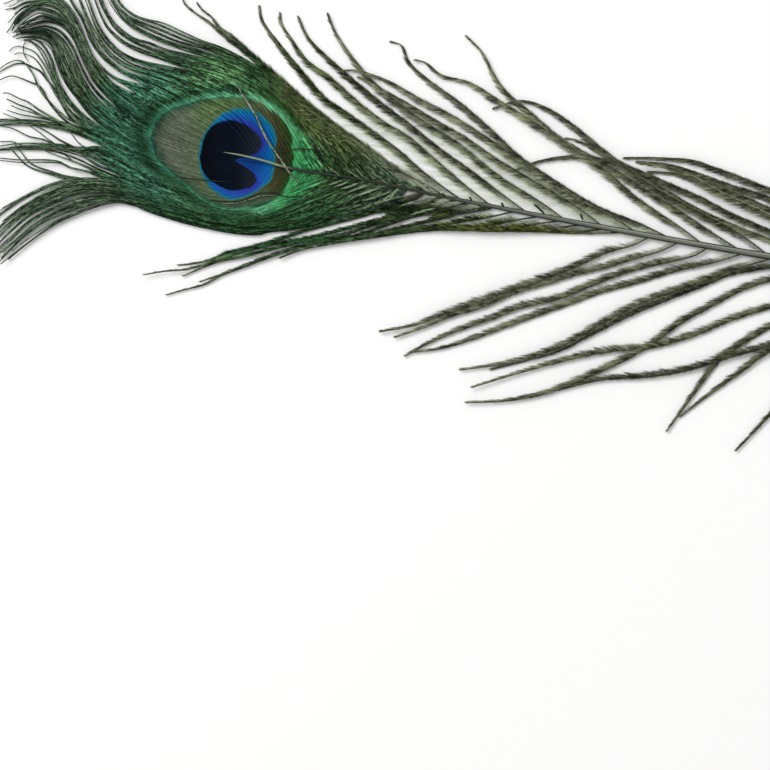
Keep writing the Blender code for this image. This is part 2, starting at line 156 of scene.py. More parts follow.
LOWER_GUIDES = (
    (0, 6, ((-10, -1), (-22, 3), (-32.5, 9), (-39.5, 15), (-43.5, 21), (-46, 26.5), (-48.5, 31),
            (-51.5, 33.5), (-54.5, 34.5), (-58, 34), (-60.5, 34), (-62.5, 33.5))),
    (1, 5, ((-9, -3), (-20.5, 1), (-31.5, 6.5), (-39.5, 13), (-44, 19), (-47, 24.5), (-49, 29),
            (-51, 31.5), (-53.5, 33.5), (-57, 33.5), (-60, 33.5), (-62.5, 32.5))),
    (2, 3, ((-7.5, -4), (-19, -1.5), (-31, 4.5), (-40, 10.5), (-45, 16.5), (-48, 21.5), (-49.5, 26),
            (-51, 30), (-53.5, 32), (-56, 32.5), (-59, 32.5), (-61.5, 32))),
    (2.3, 0, ((-7.5, -4.5), (-18.5, -2), (-31, 3.5), (-40.5, 9), (-46, 14), (-49, 18.5),
              (-50.5, 22), (-51.5, 25.5), (-53, 28.5), (-54.5, 30.5), (-56, 31.5), (-58, 32),
              (-60, 32))),
    (2.6, 0, ((-7, -4.5), (-18.5, -2), (-31, 3.5), (-41, 8.5), (-47, 14), (-50, 19), (-51.5, 22.5),
              (-52.5, 25.5), (-54, 28.5), (-56, 30.5), (-58, 31.5), (-59.5, 31.5))),
    (2.9, 0, ((-7, -5), (-18, -2.5), (-31, 3), (-41, 8), (-47.5, 13), (-50.5, 19.5), (-52.5, 23.5),
              (-54, 26.5), (-55.5, 29), (-57, 30.5), (-59, 31.5))),
    (3.2, 0, ((-6.5, -5), (-18, -3), (-31, 3), (-41.5, 7.5), (-47, 12.5), (-50, 17.5),
              (-52.5, 22.5), (-54.5, 26), (-56.5, 28.5), (-59, 29.5), (-61, 30), (-62.5, 29.5),
              (-63.5, 28.5))),
    (3.5, 0, ((-6.5, -5.5), (-17.5, -3), (-31, 2.5), (-42, 7.5), (-47, 11.5), (-50, 15.5),
              (-52.5, 20), (-54.5, 24), (-56.5, 26.5), (-58.5, 27.5), (-60.5, 28), (-62, 27.5))),
    (3.8, 0, ((-6, -6), (-17.5, -3.5), (-31, 2), (-42, 7), (-47.5, 10), (-51.5, 13.5), (-54, 16.5),
              (-55.5, 19), (-56.5, 21.5), (-58, 24), (-59.5, 25.5), (-61.5, 26), (-64, 25),
              (-66, 23.5))),
    (4.1, 0, ((-6, -6), (-17, -3.5), (-31, 1.5), (-40.5, 6), (-46, 9.5), (-49, 14), (-51, 18),
              (-53, 20.5), (-55, 23), (-57, 24), (-59, 25), (-61.5, 25), (-64, 24), (-66.5, 22.5))),
    (4.5, 0, ((-5, -6.5), (-16.5, -4), (-30.5, 1), (-40.5, 5), (-48, 9.5), (-52.5, 14.5),
              (-54, 17.5), (-55.5, 19), (-58, 20), (-60.5, 21), (-62.5, 21.5), (-64.5, 21),
              (-66.5, 20))),
    (4.9, 3, ((-4.5, -7), (-16, -4.5), (-30.5, 0.5), (-39.5, 4.5), (-46, 7), (-51, 10), (-54.5, 12),
              (-58, 14.5), (-60.5, 15.5), (-63.5, 17), (-65, 17))),
    (5.4, 2, ((-3, -9), (-15, -7), (-29, -1), (-35, 3), (-40, 5.5), (-46, 8), (-53.5, 9),
              (-59, 9.5), (-62.5, 10.5), (-65, 11.5))),
    (6, 8, ((-1, -10), (-14, -8.5), (-28, -2), (-36, 2.5), (-40.5, 5), (-47, 7), (-53.5, 8.5),
            (-60.5, 9), (-67.5, 9), (-71.5, 8))),
    (13, 1, ((3, -13), (-10, -13), (-25, -6.5), (-32.5, -2), (-38.5, 0.5), (-44, 1), (-49.5, 1.5),
             (-55, 1.5), (-60.5, 1.5), (-66, 1), (-70.5, 0.5))),
    (13.8, 0, ((4, -14), (-9, -14), (-23, -9.5), (-32.5, -4.5), (-37, -2), (-41, -0.5), (-45.5, 2),
               (-49.5, 4), (-53.5, 6.5), (-58, 8.5))),
    (14.2, 0, ((4, -14.5), (-9, -14.5), (-25, -9), (-33, -5), (-38.5, -2), (-44, 0.5), (-49.5, 2),
               (-53.5, 4), (-58, 5), (-62, 7), (-66, 8))),
    (14.6, 0, ((4.5, -14.5), (-9, -14.5), (-25, -8.5), (-33.5, -5), (-38.5, -3), (-42.5, -0.5),
               (-47, 1), (-51, 2), (-54.5, 3), (-56.5, 3.5))),
    (15, 0, ((4.5, -14.5), (-9, -14.5), (-25, -9), (-34.5, -6), (-40, -3.5), (-44, -1.5),
             (-49.5, 0.5), (-55, 1.5), (-60, 2.5), (-62.5, 3.5), (-66, 3.5))),
    (15.4, 1, ((5, -15), (-9, -15), (-25, -9.5), (-33.5, -6.5), (-39.5, -4.5), (-44, -2.5),
               (-49.5, -0.5), (-53.5, 1))),
    (16, 1, ((6, -16), (-8, -16), (-25, -10), (-33, -7.5), (-38.5, -6), (-42.5, -4.5), (-47, -3.5),
             (-49.5, -2), (-53.5, -1.5), (-60.5, -1.5), (-66, -1), (-69, -1))),
    (17, 3, ((7, -16), (-7, -16), (-25, -10.5), (-35, -8.5), (-40.5, -7.5), (-44.5, -6.5),
             (-48, -6), (-52.5, -4.5), (-55.5, -3.5), (-58, -2), (-60, 0.5), (-62, 3))),
    (20, 4, ((9, -16), (-5, -17.5), (-20.5, -12.5), (-31.5, -8.5), (-40, -7), (-47, -7.5),
             (-52.5, -9), (-58, -11.5), (-62, -14), (-66, -17), (-69, -20))),
    (25, 5, ((18, -7.5), (9, -11.5), (-1.5, -14.5), (-11, -15), (-20.5, -13), (-30.5, -10),
             (-40, -8.5), (-47.5, -9), (-53.5, -11), (-58.5, -14), (-63.5, -17.5), (-67, -21),
             (-69.5, -24))),
    (30, 5, ((23.5, -9), (14.5, -12.5), (4, -16), (-7, -17.5), (-18, -15), (-29, -11.5), (-39, -10),
             (-46, -10.5), (-53, -13), (-58.5, -16), (-63.5, -20), (-67, -24), (-69.5, -27))),
    (36, 5, ((29, -9.5), (20, -13), (9.5, -17), (-0.5, -18), (-12.5, -15.5), (-25, -13),
             (-36, -11.5), (-43.5, -12), (-50.5, -14.5), (-57, -18), (-62, -22.5), (-66.5, -26.5),
             (-69, -29.5))),
    (41, 3, ((33.5, -11), (29, -13.5), (22, -16), (15.5, -18), (4, -19.5), (-7.5, -18),
             (-15, -16), (-22, -14), (-33.5, -12), (-42, -14), (-49.5, -16.5), (-55.5, -19.5),
             (-61, -24), (-66, -29), (-68, -31))),
    (45, 0, ((41.5, -13), (37.5, -14.5), (31, -16), (24, -17.5), (16.5, -19.5), (9.5, -21),
             (3, -21.5), (-8, -20), (-21, -16.5), (-31.5, -13), (-38.5, -14), (-44, -16),
             (-49.5, -18.5), (-55, -22), (-60.5, -26), (-65.5, -30))),
    (50, 0, ((43.5, -14.5), (38.5, -15.5), (33.5, -17), (26, -19), (18.5, -21), (12.5, -23),
             (4, -25.5), (-3, -27), (-8, -29), (-12.5, -30), (-17, -30.5))),
    (55, 0, ((48.5, -15), (42.5, -17), (34.5, -19), (25, -21.5), (16.5, -23.5), (8, -25),
             (0, -27), (-7, -29), (-14, -31), (-20.5, -31.5), (-26.5, -32.5))),
    (59, 0, ((51.5, -15.5), (44.5, -17), (36.5, -19.5), (27.5, -22.5), (18, -24), (9.5, -26),
             (1.5, -28), (-5.5, -29.5), (-11, -31.5), (-15.5, -33.5))),
    (63, 0, ((56, -15), (48, -17), (40.5, -19.5), (32.5, -22.5), (23.5, -24), (15, -26), (7, -28.5),
             (0, -31), (-7, -33.5), (-11, -35))),
    (69, 0, ((62, -15.5), (53.5, -18), (45.5, -20), (36, -22.5), (26, -24), (18, -25.5), (9.5, -28),
             (1.5, -31), (-5, -33.5), (-9.5, -36), (-15, -37.5), (-20, -39))),
    (76, 0, ((69, -17), (60.5, -18.5), (52.5, -20), (42.5, -21.5), (31.5, -23.5), (23.5, -25),
             (16.5, -26.5), (11, -28.5))),
    (83, 0, ((75.5, -18), (67.5, -19.5), (58, -20.5), (47, -21.5), (38.5, -22.5), (31.5, -23.5))),
    (89, 0, ((81.5, -19), (73, -20.5), (62, -21), (52.5, -21), (45.5, -21.5), (40, -22.5))),
    (95, 0, ((87.5, -20), (78.5, -21), (67.5, -21), (56.5, -20.5), (49.5, -20.5))),
    (101, 0, ((93.5, -21), (84, -21), (73, -21), (63.5, -20.5), (55, -20))),
    (107, 0, ((100, -21.5), (91, -21.5), (80, -21), (69, -20.5), (60.5, -20))),
    (113, 0, ((107.5, -25), (100.5, -27), (92, -31), (84, -34), (74, -37.5), (64.5, -41),
              (56.5, -44), (48, -47), (38.5, -48.5))),
    (121, 0, ((115.5, -26.5), (108.5, -28.5), (100.5, -31), (92, -33), (84, -35.5), (75.5, -38),
              (67.5, -41.5), (59, -44), (51, -47), (42.5, -50))),
    (129, 0, ((124, -28), (113, -30.5), (104.5, -33), (96.5, -36), (88, -39.5), (77, -42),
              (69, -45), (60.5, -48), (52.5, -51.5), (45.5, -55.5))),
    (139, 0, ((130.5, -29.5), (119.5, -32), (110, -35), (99, -38), (91, -41), (82.5, -44),
              (73, -47.5), (63.5, -51), (55, -53.5), (47, -54.5))),
    (148, 0, ((146, -28.5), (136, -31.5), (128, -34.5), (121, -37), (110, -41), (100.5, -46),
              (91, -51.5), (82.5, -55), (71.5, -57.5), (60.5, -59))),
    (156, 0, ((152.5, -30), (146, -31), (135, -33), (126.5, -36.5), (118.5, -39.5), (107.5, -44),
              (96.5, -49.5), (88, -54), (78.5, -57), (69, -59.5))),
    (166, 0, ((152.5, -33.5), (146, -34.5), (137.5, -37.5), (129, -42), (121, -46.5), (113, -52.5),
              (106, -56.5), (96.5, -61), (85, -65.5), (74, -67.5), (62, -68))),
    (177, 0, ((168, -35.5), (157, -39), (146, -42), (135, -45.5), (124, -50), (113, -53),
              (102, -54), (91, -56), (77, -59.5), (63.5, -63.5))),
    (187, 0, ((179, -37.5), (168, -40.5), (157, -43.5), (146, -47.5), (137.5, -52.5), (132, -56.5),
              (126.5, -63.5), (121, -71), (117.5, -76))),
    (196, 0, ((187, -38.5), (173, -43), (159.5, -47.5), (146, -52.5), (135, -55.5), (124, -59),
              (113, -61), (99, -62), (88, -64.5), (77, -66.5))),
    (204, 0, ((194, -41), (181.5, -45), (168, -48.5), (157, -51), (146, -54), (137.5, -60),
              (129, -66), (121, -72))),
    (209, 0, ((189, -43), (170, -52), (155, -62), (146, -71), (136, -81))),
    (215, 0, ((202, -43), (188, -52), (177, -62), (171, -69))),
)
MIDDLE_BARBS = 4
# Roots of guides where the crest parts, so that no barb runs between it and the next.
PARTINGS = (1.6, 2, 5.4, 6)

# Barbs and broken barbs that lie across the others: half width, height, places passed.
PALE_STRAYS = (
    (0.34, 2.35, ((-1, 19.5), (0.5, 17), (3, 13), (5, 9.5), (7, 5), (9.5, 1), (12, -2.5),
                  (14.5, -6), (16.5, -7.5))),
    (0.16, 1.7, ((-6, -13.3), (-1, -13.3), (3, -12.2), (6, -11.2), (10, -11.2))),
)
DARK_STRAYS = (
    (0.18, 1.75, ((-9, -12.5), (-3.5, -12.8), (0, -12.8), (3, -11.5), (6, -10.5), (9.5, -10.5),
                  (12.5, -11.5), (16.5, -11.5))),
    (0.14, 1.8, ((-18, -6), (-14, -6.5), (-9.5, -7), (-3, -7.5))),
    (0.18, 2.0, ((10, 0.5), (12.5, 1), (15.5, 1.5), (19, 1.5), (23.5, 1))),
    (0.14, 1.4, ((-58, 25.5), (-59, 27), (-59.5, 29), (-59, 31), (-57.5, 32))),
    (0.14, 1.2, ((-50, 2.5), (-53, 4.5), (-55.5, 6.5), (-58, 8))),
    (0.14, 1.2, ((-41, 1.5), (-44, 3), (-46.5, 6))),
    (0.14, 1.2, ((-38, -4.5), (-42, -3.5), (-46, -1.5), (-49.5, 1))),
    (0.26, 2.2, ((55.6, -10.5), (56, -11), (56.4, -11.6))),
    (0.28, 2.3, ((63, -11.5), (63.4, -12.1), (63.8, -12.9))),
    (0.3, 2.35, ((71.8, -13.1), (72.1, -13.7), (72.5, -14.4))),
    (0.3, 2.5, ((80.7, -13.6), (82.2, -14.8), (83.7, -16.3))),
    (0.26, 2.6, ((93.5, -16.2), (93.8, -17), (94.2, -18.1))),
)
# Bare pale bases of barbs beside the shaft: half width, start and end of each.
BARE_BASES = (
    (0.34, (24.3, -8.3), (28.2, -7)), (0.3, (25.9, -8.9), (29.8, -7.6)),
    (0.36, (28, -9.4), (32.5, -7.9)), (0.38, (29.6, -10.3), (35.3, -8.3)),
    (0.4, (32.1, -11.3), (38.9, -9)), (0.4, (34.3, -12.6), (41.9, -10)),
    (0.38, (36.7, -13.6), (44.5, -11.4)), (0.34, (43.8, -14.2), (48.3, -12.8)),
    (0.36, (46.8, -16.5), (53.6, -14.7)), (0.16, (24.2, -3.2), (27.7, -6)),
    (0.16, (28.9, -3.9), (33.9, -7.1)), (0.14, (36, -4.8), (41, -8.2)),
)

# Outlines of the eye's zones: a centre, and (degrees round it, distance from it).
BRONZE_CENTRE = (-3.3, 0.6)
BRONZE_OUTLINE = (
    (-180, 19.6), (-171, 18.1), (-160, 15.9), (-150, 14.6), (-135, 13.9), (-117, 14.0),
    (-100, 14.6), (-85, 15.1), (-61, 16.1), (-36, 18.2), (-18, 18.3), (0, 17.9), (20, 17.8),
    (38, 16.9), (61, 16.0), (90, 15.0), (110, 15.5), (128, 16.9), (149, 20.0),
    (158, 20.8), (166, 20.9), (176, 20.1), (180, 19.6),
)
BLUE_CENTRE = (-0.6, 0.0)
BLUE_OUTLINE = (
    (-180, 10.8), (-164, 11.1), (-145, 11.4), (-120, 12.1), (-99, 12.5), (-78, 11.8),
    (-50, 11.3), (-38, 11.6), (-30, 11.1), (3, 10.5), (27, 12.0), (53, 12.8), (76, 13.1),
    (95, 12.8), (116, 11.9), (143, 11.0), (180, 10.8),
)
HEART_CENTRE = (-3.9, -0.8)
HEART_OUTLINE = (
    (-180, 7.1), (-138, 7.4), (-105, 7.9), (-77, 9.2), (-60, 10.0), (-43, 10.7),
    (-32, 9.6), (-25, 6.0), (-15, 2.8), (0, 4.6), (9, 8.4), (18, 10.4), (30, 11.0),
    (50, 10.8), (78, 10.4), (106, 9.8), (131, 8.4), (169, 7.0), (180, 7.1),
)
OUTLINE_REACH = 24.0
# Middles of the light patch over the eye and of the painted shade in the thick of the crest.
LIGHT_PATCH = (-7, 23)
CREST_SHADE_MIDDLE = (-56, 35)

# A barb's place in the fan is its root's distance along X from here, less than 0 below the shaft.
FAN_START = -2.0
# Upper barbs that leave the shaft past this distance gather into strands in the crest.
CREST_FROM = 4.5
# How far the shaft falls on Y for each unit of X.
SHAFT_SLOPE = 0.2
# The lowest that a barbule's tip comes.
CLEAR_OF_FLOOR = 0.06
UP = np.array((0.0, 0.0, 1.0))


class Side(Enum):
    """The two sides of the shaft, with the sign of their place in the fan."""

    UPPER = 1
    LOWER = -1


def smooth_path(points: tuple, steps: int) -> np.ndarray:
    """Draw a smooth curve through points.

    Args:
        points: one point a row.
        steps: how many steps to take between each two points.

    Returns:
        The curve's points, the first and last given point included.
    """
    points = np.array(points, float)
    ends = np.vstack([2 * points[0] - points[1], points, 2 * points[-1] - points[-2]])
    t = np.linspace(0, 1, steps, endpoint=False)[:, None]
    spans = []
    for before, start, end, after in zip(ends, ends[1:], ends[2:], ends[3:]):
        spans.append(0.5 * (
            2 * start
            + (end - before) * t
            + (2 * before - 5 * start + 4 * end - after) * t ** 2
            + (3 * start - before - 3 * end + after) * t ** 3
        ))
    return np.vstack(spans + [points[-1:]])


def evenly(path: np.ndarray, count: int) -> np.ndarray:
    """Read a path at equal distances.

    Args:
        path: the path's points, one a row.
        count: how many points to return.

    Returns:
        That many points, evenly spaced from end to end.
    """
    steps = np.linalg.norm(np.diff(path[:, :2], axis=0), axis=1)
    reached = np.concatenate([[0], np.cumsum(steps)])
    wanted = np.linspace(0, reached[-1], count)
    return np.column_stack([np.interp(wanted, reached, column) for column in path.T])


def read_between(values: np.ndarray, rows: np.ndarray, share: np.ndarray) -> np.ndarray:
    """Read values between two stations.

    Args:
        values: a row for each barb, a column for each station.
        rows: the barb of each reading.
        share: how far along the barb each reading is, from 0 to below 1.

    Returns:
        The value of each reading.
    """
    exact = share * (values.shape[1] - 1)
    low = exact.astype(int)
    part = exact - low
    if values.ndim == 3:
        part = part[:, None]
    return values[rows, low] * (1 - part) + values[rows, low + 1] * part


def smoothstep(value: np.ndarray, low: float, high: float) -> np.ndarray:
    """Ease from 0 at low to 1 at high."""
    share = np.clip((value - low) / (high - low), 0, 1)
    return share * share * (3 - 2 * share)


def taper(share: np.ndarray, start: float, loss: float) -> np.ndarray:
    """Ease from 1 at start down by the loss at the tip."""
    return 1 - loss * smoothstep(share, start, 1.0)


def unit(vectors: np.ndarray) -> np.ndarray:
    """Scale each row to length 1."""
    return vectors / np.maximum(np.linalg.norm(vectors, axis=-1, keepdims=True), 1e-9)


def left_of(plan: np.ndarray) -> np.ndarray:
    """Give the direction to the left of each path of X and Y, at each station."""
    return unit(np.gradient(plan, axis=1))[..., ::-1] * (-1, 1)


def at_height(plan: np.ndarray, height: np.ndarray | float) -> np.ndarray:
    """Add Z to paths of X and Y."""
    height = np.broadcast_to(height, plan.shape[:2])
    return np.concatenate([plan, height[..., None]], axis=2)


@dataclass
class ShaftLine:
    """The shaft's axis and thickness."""

    rows: tuple = SHAFT_ROWS
    curve: np.ndarray = field(init=False)

    def __post_init__(self) -> None:
        """Draw the smooth axis through the rows."""
        self.curve = smooth_path(self.rows, 12)

    def at(self, x: np.ndarray) -> np.ndarray:
        """Read the axis.

        Args:
            x: distances along X.

        Returns:
            X, Y, Z and radius in the last axis.
        """
        x = np.clip(x, self.curve[0, 0], self.curve[-1, 0])
        columns = [np.interp(x, self.curve[:, 0], column) for column in self.curve.T]
        return np.stack(columns, axis=-1)


@dataclass
class Rim:
    """The rim of the closed vane, as a reach round its centre."""

    outline: tuple = VANE_RIM
    centre: tuple = VANE_CENTRE

    def reach(self, spots: np.ndarray) -> np.ndarray:
        """Say how far spots are from the centre.

        Args:
            spots: X and Y in the last axis.

        Returns:
            0 at the centre, 1 on the rim, more outside.
        """
        ring = np.array(self.outline, float) - self.centre
        away = spots - np.array(self.centre)
        radius = np.interp(
            np.arctan2(away[..., 1], away[..., 0]), np.arctan2(ring[:, 1], ring[:, 0]),
            np.hypot(*ring.T), period=2 * math.pi)
        return np.hypot(away[..., 0], away[..., 1]) / radius


class Rows:
    """Arrays that hold one row each for the same things."""

    def pick(self, mask: np.ndarray) -> Self:
        """Keep the rows that a mask names."""
        return type(self)(*(getattr(self, name)[mask] for name in self.__dataclass_fields__))


@dataclass
class Barbs(Rows):
    """A set of barbs: rows are barbs, columns are stations from root to tip."""

    place: np.ndarray  # X, Y, Z
    distal: np.ndarray  # unit vector towards the feather's tip, across the barb
    gap_distal: np.ndarray  # distance to the neighbour on the distal side
    gap_proximal: np.ndarray
    reach: np.ndarray  # from the closed vane's centre
    root: np.ndarray  # distance of each root along X
    side: np.ndarray  # 1 for the upper vane, -1 for the lower
    loose: np.ndarray  # whether it hangs free of its neighbours
    chance: np.ndarray  # a random number of each barb's own

    def tangent(self) -> np.ndarray:
        """Give the direction along each barb at each station."""
        return unit(np.gradient(self.place, axis=1))

    def length(self) -> np.ndarray:
        """Give the distance from the root at each station."""
        steps = np.linalg.norm(np.diff(self.place, axis=1), axis=2)
        return np.pad(np.cumsum(steps, axis=1), ((0, 0), (1, 0)))

    def crest(self) -> np.ndarray:
        """Say which barbs gather into strands in the crest."""
        return (self.side > 0) & (self.root > CREST_FROM) & ~self.loose


@dataclass
class Fan:
    """Reads every barb between the guide barbs, from lower quill round to upper."""

    shaft: ShaftLine
    rim: Rim
    stations: int = 72
    seed: int = 11
    closed_upper: float = 51.0
    closed_lower: float = 47.0
    crest_places: tuple = (6, 45)
    crest_hold: float = 0.62
    drawn_share: float = 0.2
    uneven: float = 0.2
    cut_from: float = 7.0
    cut_low: float = 0.05
    cut_high: float = 0.15
    sway_closed: float = 0.35
    sway_loose: float = 0.7
    sway_waves: tuple = (0.6, 1.9)
    cluster_sizes: tuple = (1, 2, 3, 3, 4, 5)
    cluster_hold: tuple = (0.45, 0.9)
    crown: float = 0.55
    vane_height: float = 0.75
    neighbour_step: float = 0.012
    rest_level: tuple = (0.25, 1.5)
    most_lift: float = 1.6
    curl: tuple = (-0.2, 1.6)

    def guide_paths(self) -> tuple[np.ndarray, np.ndarray, np.ndarray]:
        """Draw the guides.

        Returns:
            The guides' places in the fan, their paths at equal stations, and how many
            barbs stand between each guide and the next.
        """
        places, paths, outward = [], [], []
        for side, guides in ((Side.LOWER, LOWER_GUIDES), (Side.UPPER, UPPER_GUIDES)):
            for root_x, between, points in guides:
                root = self.shaft.at(np.array(float(root_x)))[:2]
                places.append(side.value * (root_x - FAN_START))
                paths.append(evenly(smooth_path((root, *points), 10), self.stations))
                outward.append(between)
        order = np.argsort(places)
        places, outward = np.array(places)[order], np.array(outward)[order]
        between = np.where(places[:-1] > 0, outward[:-1], outward[1:])
        between[np.searchsorted(places, 0) - 1] = MIDDLE_BARBS
        return places, np.array(paths)[order], between

    def places(self, guides: np.ndarray, between: np.ndarray,
               rng: np.random.Generator) -> np.ndarray:
        """Choose where barbs stand: one on each guide, and the rest between.

        Args:
            guides: the guides' places in the fan.
            between: how many barbs stand after each guide but the last.
            rng: the source of small differences.

        Returns:
            Each barb's place in the fan.
        """
        chosen = []
        for left, right, count in zip(guides, guides[1:], between + 1):
            shares = (np.arange(count) + rng.uniform(-self.uneven, self.uneven, count)) / count
            shares[0] = 0
            chosen.append(left + shares * (right - left))
        return np.append(np.concatenate(chosen), guides[-1])

    def routes(self, places: np.ndarray, guides: np.ndarray, paths: np.ndarray,
               rng: np.random.Generator) -> tuple[np.ndarray, np.ndarray]:
        """Lay each barb between its two guides, cut to its own length.

        Where the crest parts, barbs are drawn to one guide or the other.

        Args:
            places: each barb's place in the fan.
            guides: the guides' places.
            paths: the guides' paths.
            rng: the source of small differences.

        Returns:
            Each barb's path, and how far it is from a guide, 0 to 1.
        """
        after = np.clip(np.searchsorted(guides, places, side="right"), 1, len(guides) - 1)
        left, right = guides[after - 1], guides[after]
        share = np.clip((places - left) / (right - left), 0, 1)
        first, step = paths[after - 1], paths[after] - paths[after - 1]
        own = np.minimum(np.minimum(share, 1 - share) * 5, 1)
        inner = np.minimum(np.abs(left), np.abs(right)) + FAN_START
        parted = np.isclose(inner[:, None], PARTINGS).any(axis=1)
        hold = np.where(parted, 1.0, smoothstep(np.linalg.norm(step[:, -1], axis=1), 4, 9))
        crest = (left > self.crest_places[0]) & (right < self.crest_places[1])
        hold = np.maximum(hold, np.where(crest, self.crest_hold, 0.0))
        plain = first + step * share[:, None, None]
        outside = np.maximum.accumulate(smoothstep(self.rim.reach(plain), 0.95, 1.3), axis=1)
        near = np.where(
            share < 0.5, share * self.drawn_share, 1 - (1 - share) * self.drawn_share)
        drawn = share[:, None] + ((near - share) * hold)[:, None] * outside
        between = first + step * drawn[..., None]
        loss = np.where(places < self.cut_from, self.cut_low, self.cut_high)
        cut = 1 - rng.uniform(0, 1, len(places)) * loss * own
        routes = [
            evenly(path[:max(int(self.stations * length), 8)], self.stations)
            for path, length in zip(between, cut)]
        return np.array(routes), own

    def sway(self, plan: np.ndarray, size: np.ndarray, rng: np.random.Generator) -> None:
        """Bend each route a little its own way, more towards its tip.

        Args:
            plan: X and Y of each route at each station, which it changes.
            size: how far each route may bend.
            rng: the source of small differences.
        """
        s = np.linspace(0, 1, self.stations)
        for route, across, most in zip(plan, left_of(plan), size):
            waves = rng.uniform(*self.sway_waves, 2)
            phases = rng.uniform(0, 2 * math.pi, 2)
            bend = sum(
                np.sin(2 * math.pi * wave * s + phase) - math.sin(phase)
                for wave, phase in zip(waves, phases))
            route += across * (bend * most * s ** 1.5)[:, None]

    def gather(self, plan: np.ndarray, reach: np.ndarray, rng: np.random.Generator) -> None:
        """Draw neighbours together into strands once they leave the closed vane.

        Args:
            plan: X and Y of each barb at each station, which it changes.
            reach: how far each of those places is from the closed vane's centre.
            rng: the source of small differences.
        """
        start = 0
        while start < len(plan):
            size = int(rng.choice(self.cluster_sizes))
            group = slice(start, min(start + size, len(plan)))
            start += size
            middle = plan[group].mean(axis=0)
            hold = rng.uniform(*self.cluster_hold)
            pull = np.maximum.accumulate(smoothstep(reach[group], 0.95, 1.4), axis=1) * hold
            pull *= smoothstep(np.linspace(0, 1, self.stations), 0.15, 0.4)
            plan[group] += (middle - plan[group]) * pull[..., None]

    def heights(self, plan: np.ndarray, reach: np.ndarray,
                rng: np.random.Generator) -> np.ndarray:
        """Lift each barb: level with the shaft at its root, then down to rest.

        Args:
            plan: X and Y of each barb at each station.
            reach: how far each of those places is from the closed vane's centre.
            rng: the source of small differences.

        Returns:
            Z of each place.
        """
        s = np.linspace(0, 1, self.stations)
        root = self.shaft.at(plan[:, 0, 0])[:, 2]
        outside = smoothstep(reach, 0.85, 1.3)
        count = len(plan)
        level = rng.uniform(*self.rest_level, count)[:, None]
        lift = rng.uniform(0.0, self.most_lift, count)[:, None] * np.sin(math.pi * s) ** 2
        curl = rng.uniform(*self.curl, count).clip(0)[:, None] * s ** 3
        crown = self.vane_height + self.crown * (1 - np.minimum(reach, 1) ** 2)
        crown = crown + self.neighbour_step * (np.arange(count)[:, None] % 3)
        rest = crown * (1 - outside) + (level + lift + curl) * outside
        fall = smoothstep(s, 0.0, 0.3)
        return root[:, None] * (1 - fall) + rest * fall

    def barbs(self) -> Barbs:
        """Make every barb.

        Returns:
            The barbs, from the lower quill round the tip to the upper quill.
        """
        rng = np.random.default_rng(self.seed)
        guides, paths, between = self.guide_paths()
        fan = self.places(guides, between, rng)
        side = np.where(fan < 0, -1, 1)
        root_x = np.abs(fan) + FAN_START
        plan, own = self.routes(fan, guides, paths, rng)
        loose = root_x > np.where(side > 0, self.closed_upper, self.closed_lower)
        size = self.sway_closed + (self.sway_loose - self.sway_closed) * loose
        self.sway(plan, size * (0.25 + 0.75 * own), rng)
        reach = self.rim.reach(plan)
        spread = plan.copy()
        crest = np.flatnonzero(~loose & (side > 0) & (root_x > CREST_FROM))
        gathered = plan[crest]
        self.gather(gathered, reach[crest], rng)
        plan[crest] = gathered
        root = self.shaft.at(root_x)[:, :2]
        fade = (1 - np.linspace(0, 1, self.stations)) ** 6
        plan += (root - plan[:, 0])[:, None, :] * fade[None, :, None]
        place = at_height(plan, self.heights(plan, reach, rng))
        distal = left_of(plan) * side[:, None, None]
        towards = np.abs(np.einsum("ijk,ijk->ij", np.diff(spread, axis=0), distal[1:]))
        before = np.vstack([towards[:1], towards])
        after = np.vstack([towards, towards[-1:]])
        upper = (side > 0)[:, None]
        return Barbs(
            place=place,
            distal=at_height(distal, 0.0),
            gap_distal=np.where(upper, before, after),
            gap_proximal=np.where(upper, after, before),
            reach=reach,
            root=root_x,
            side=side,
            loose=loose,
            chance=rng.uniform(0, 1, len(fan)),
        )


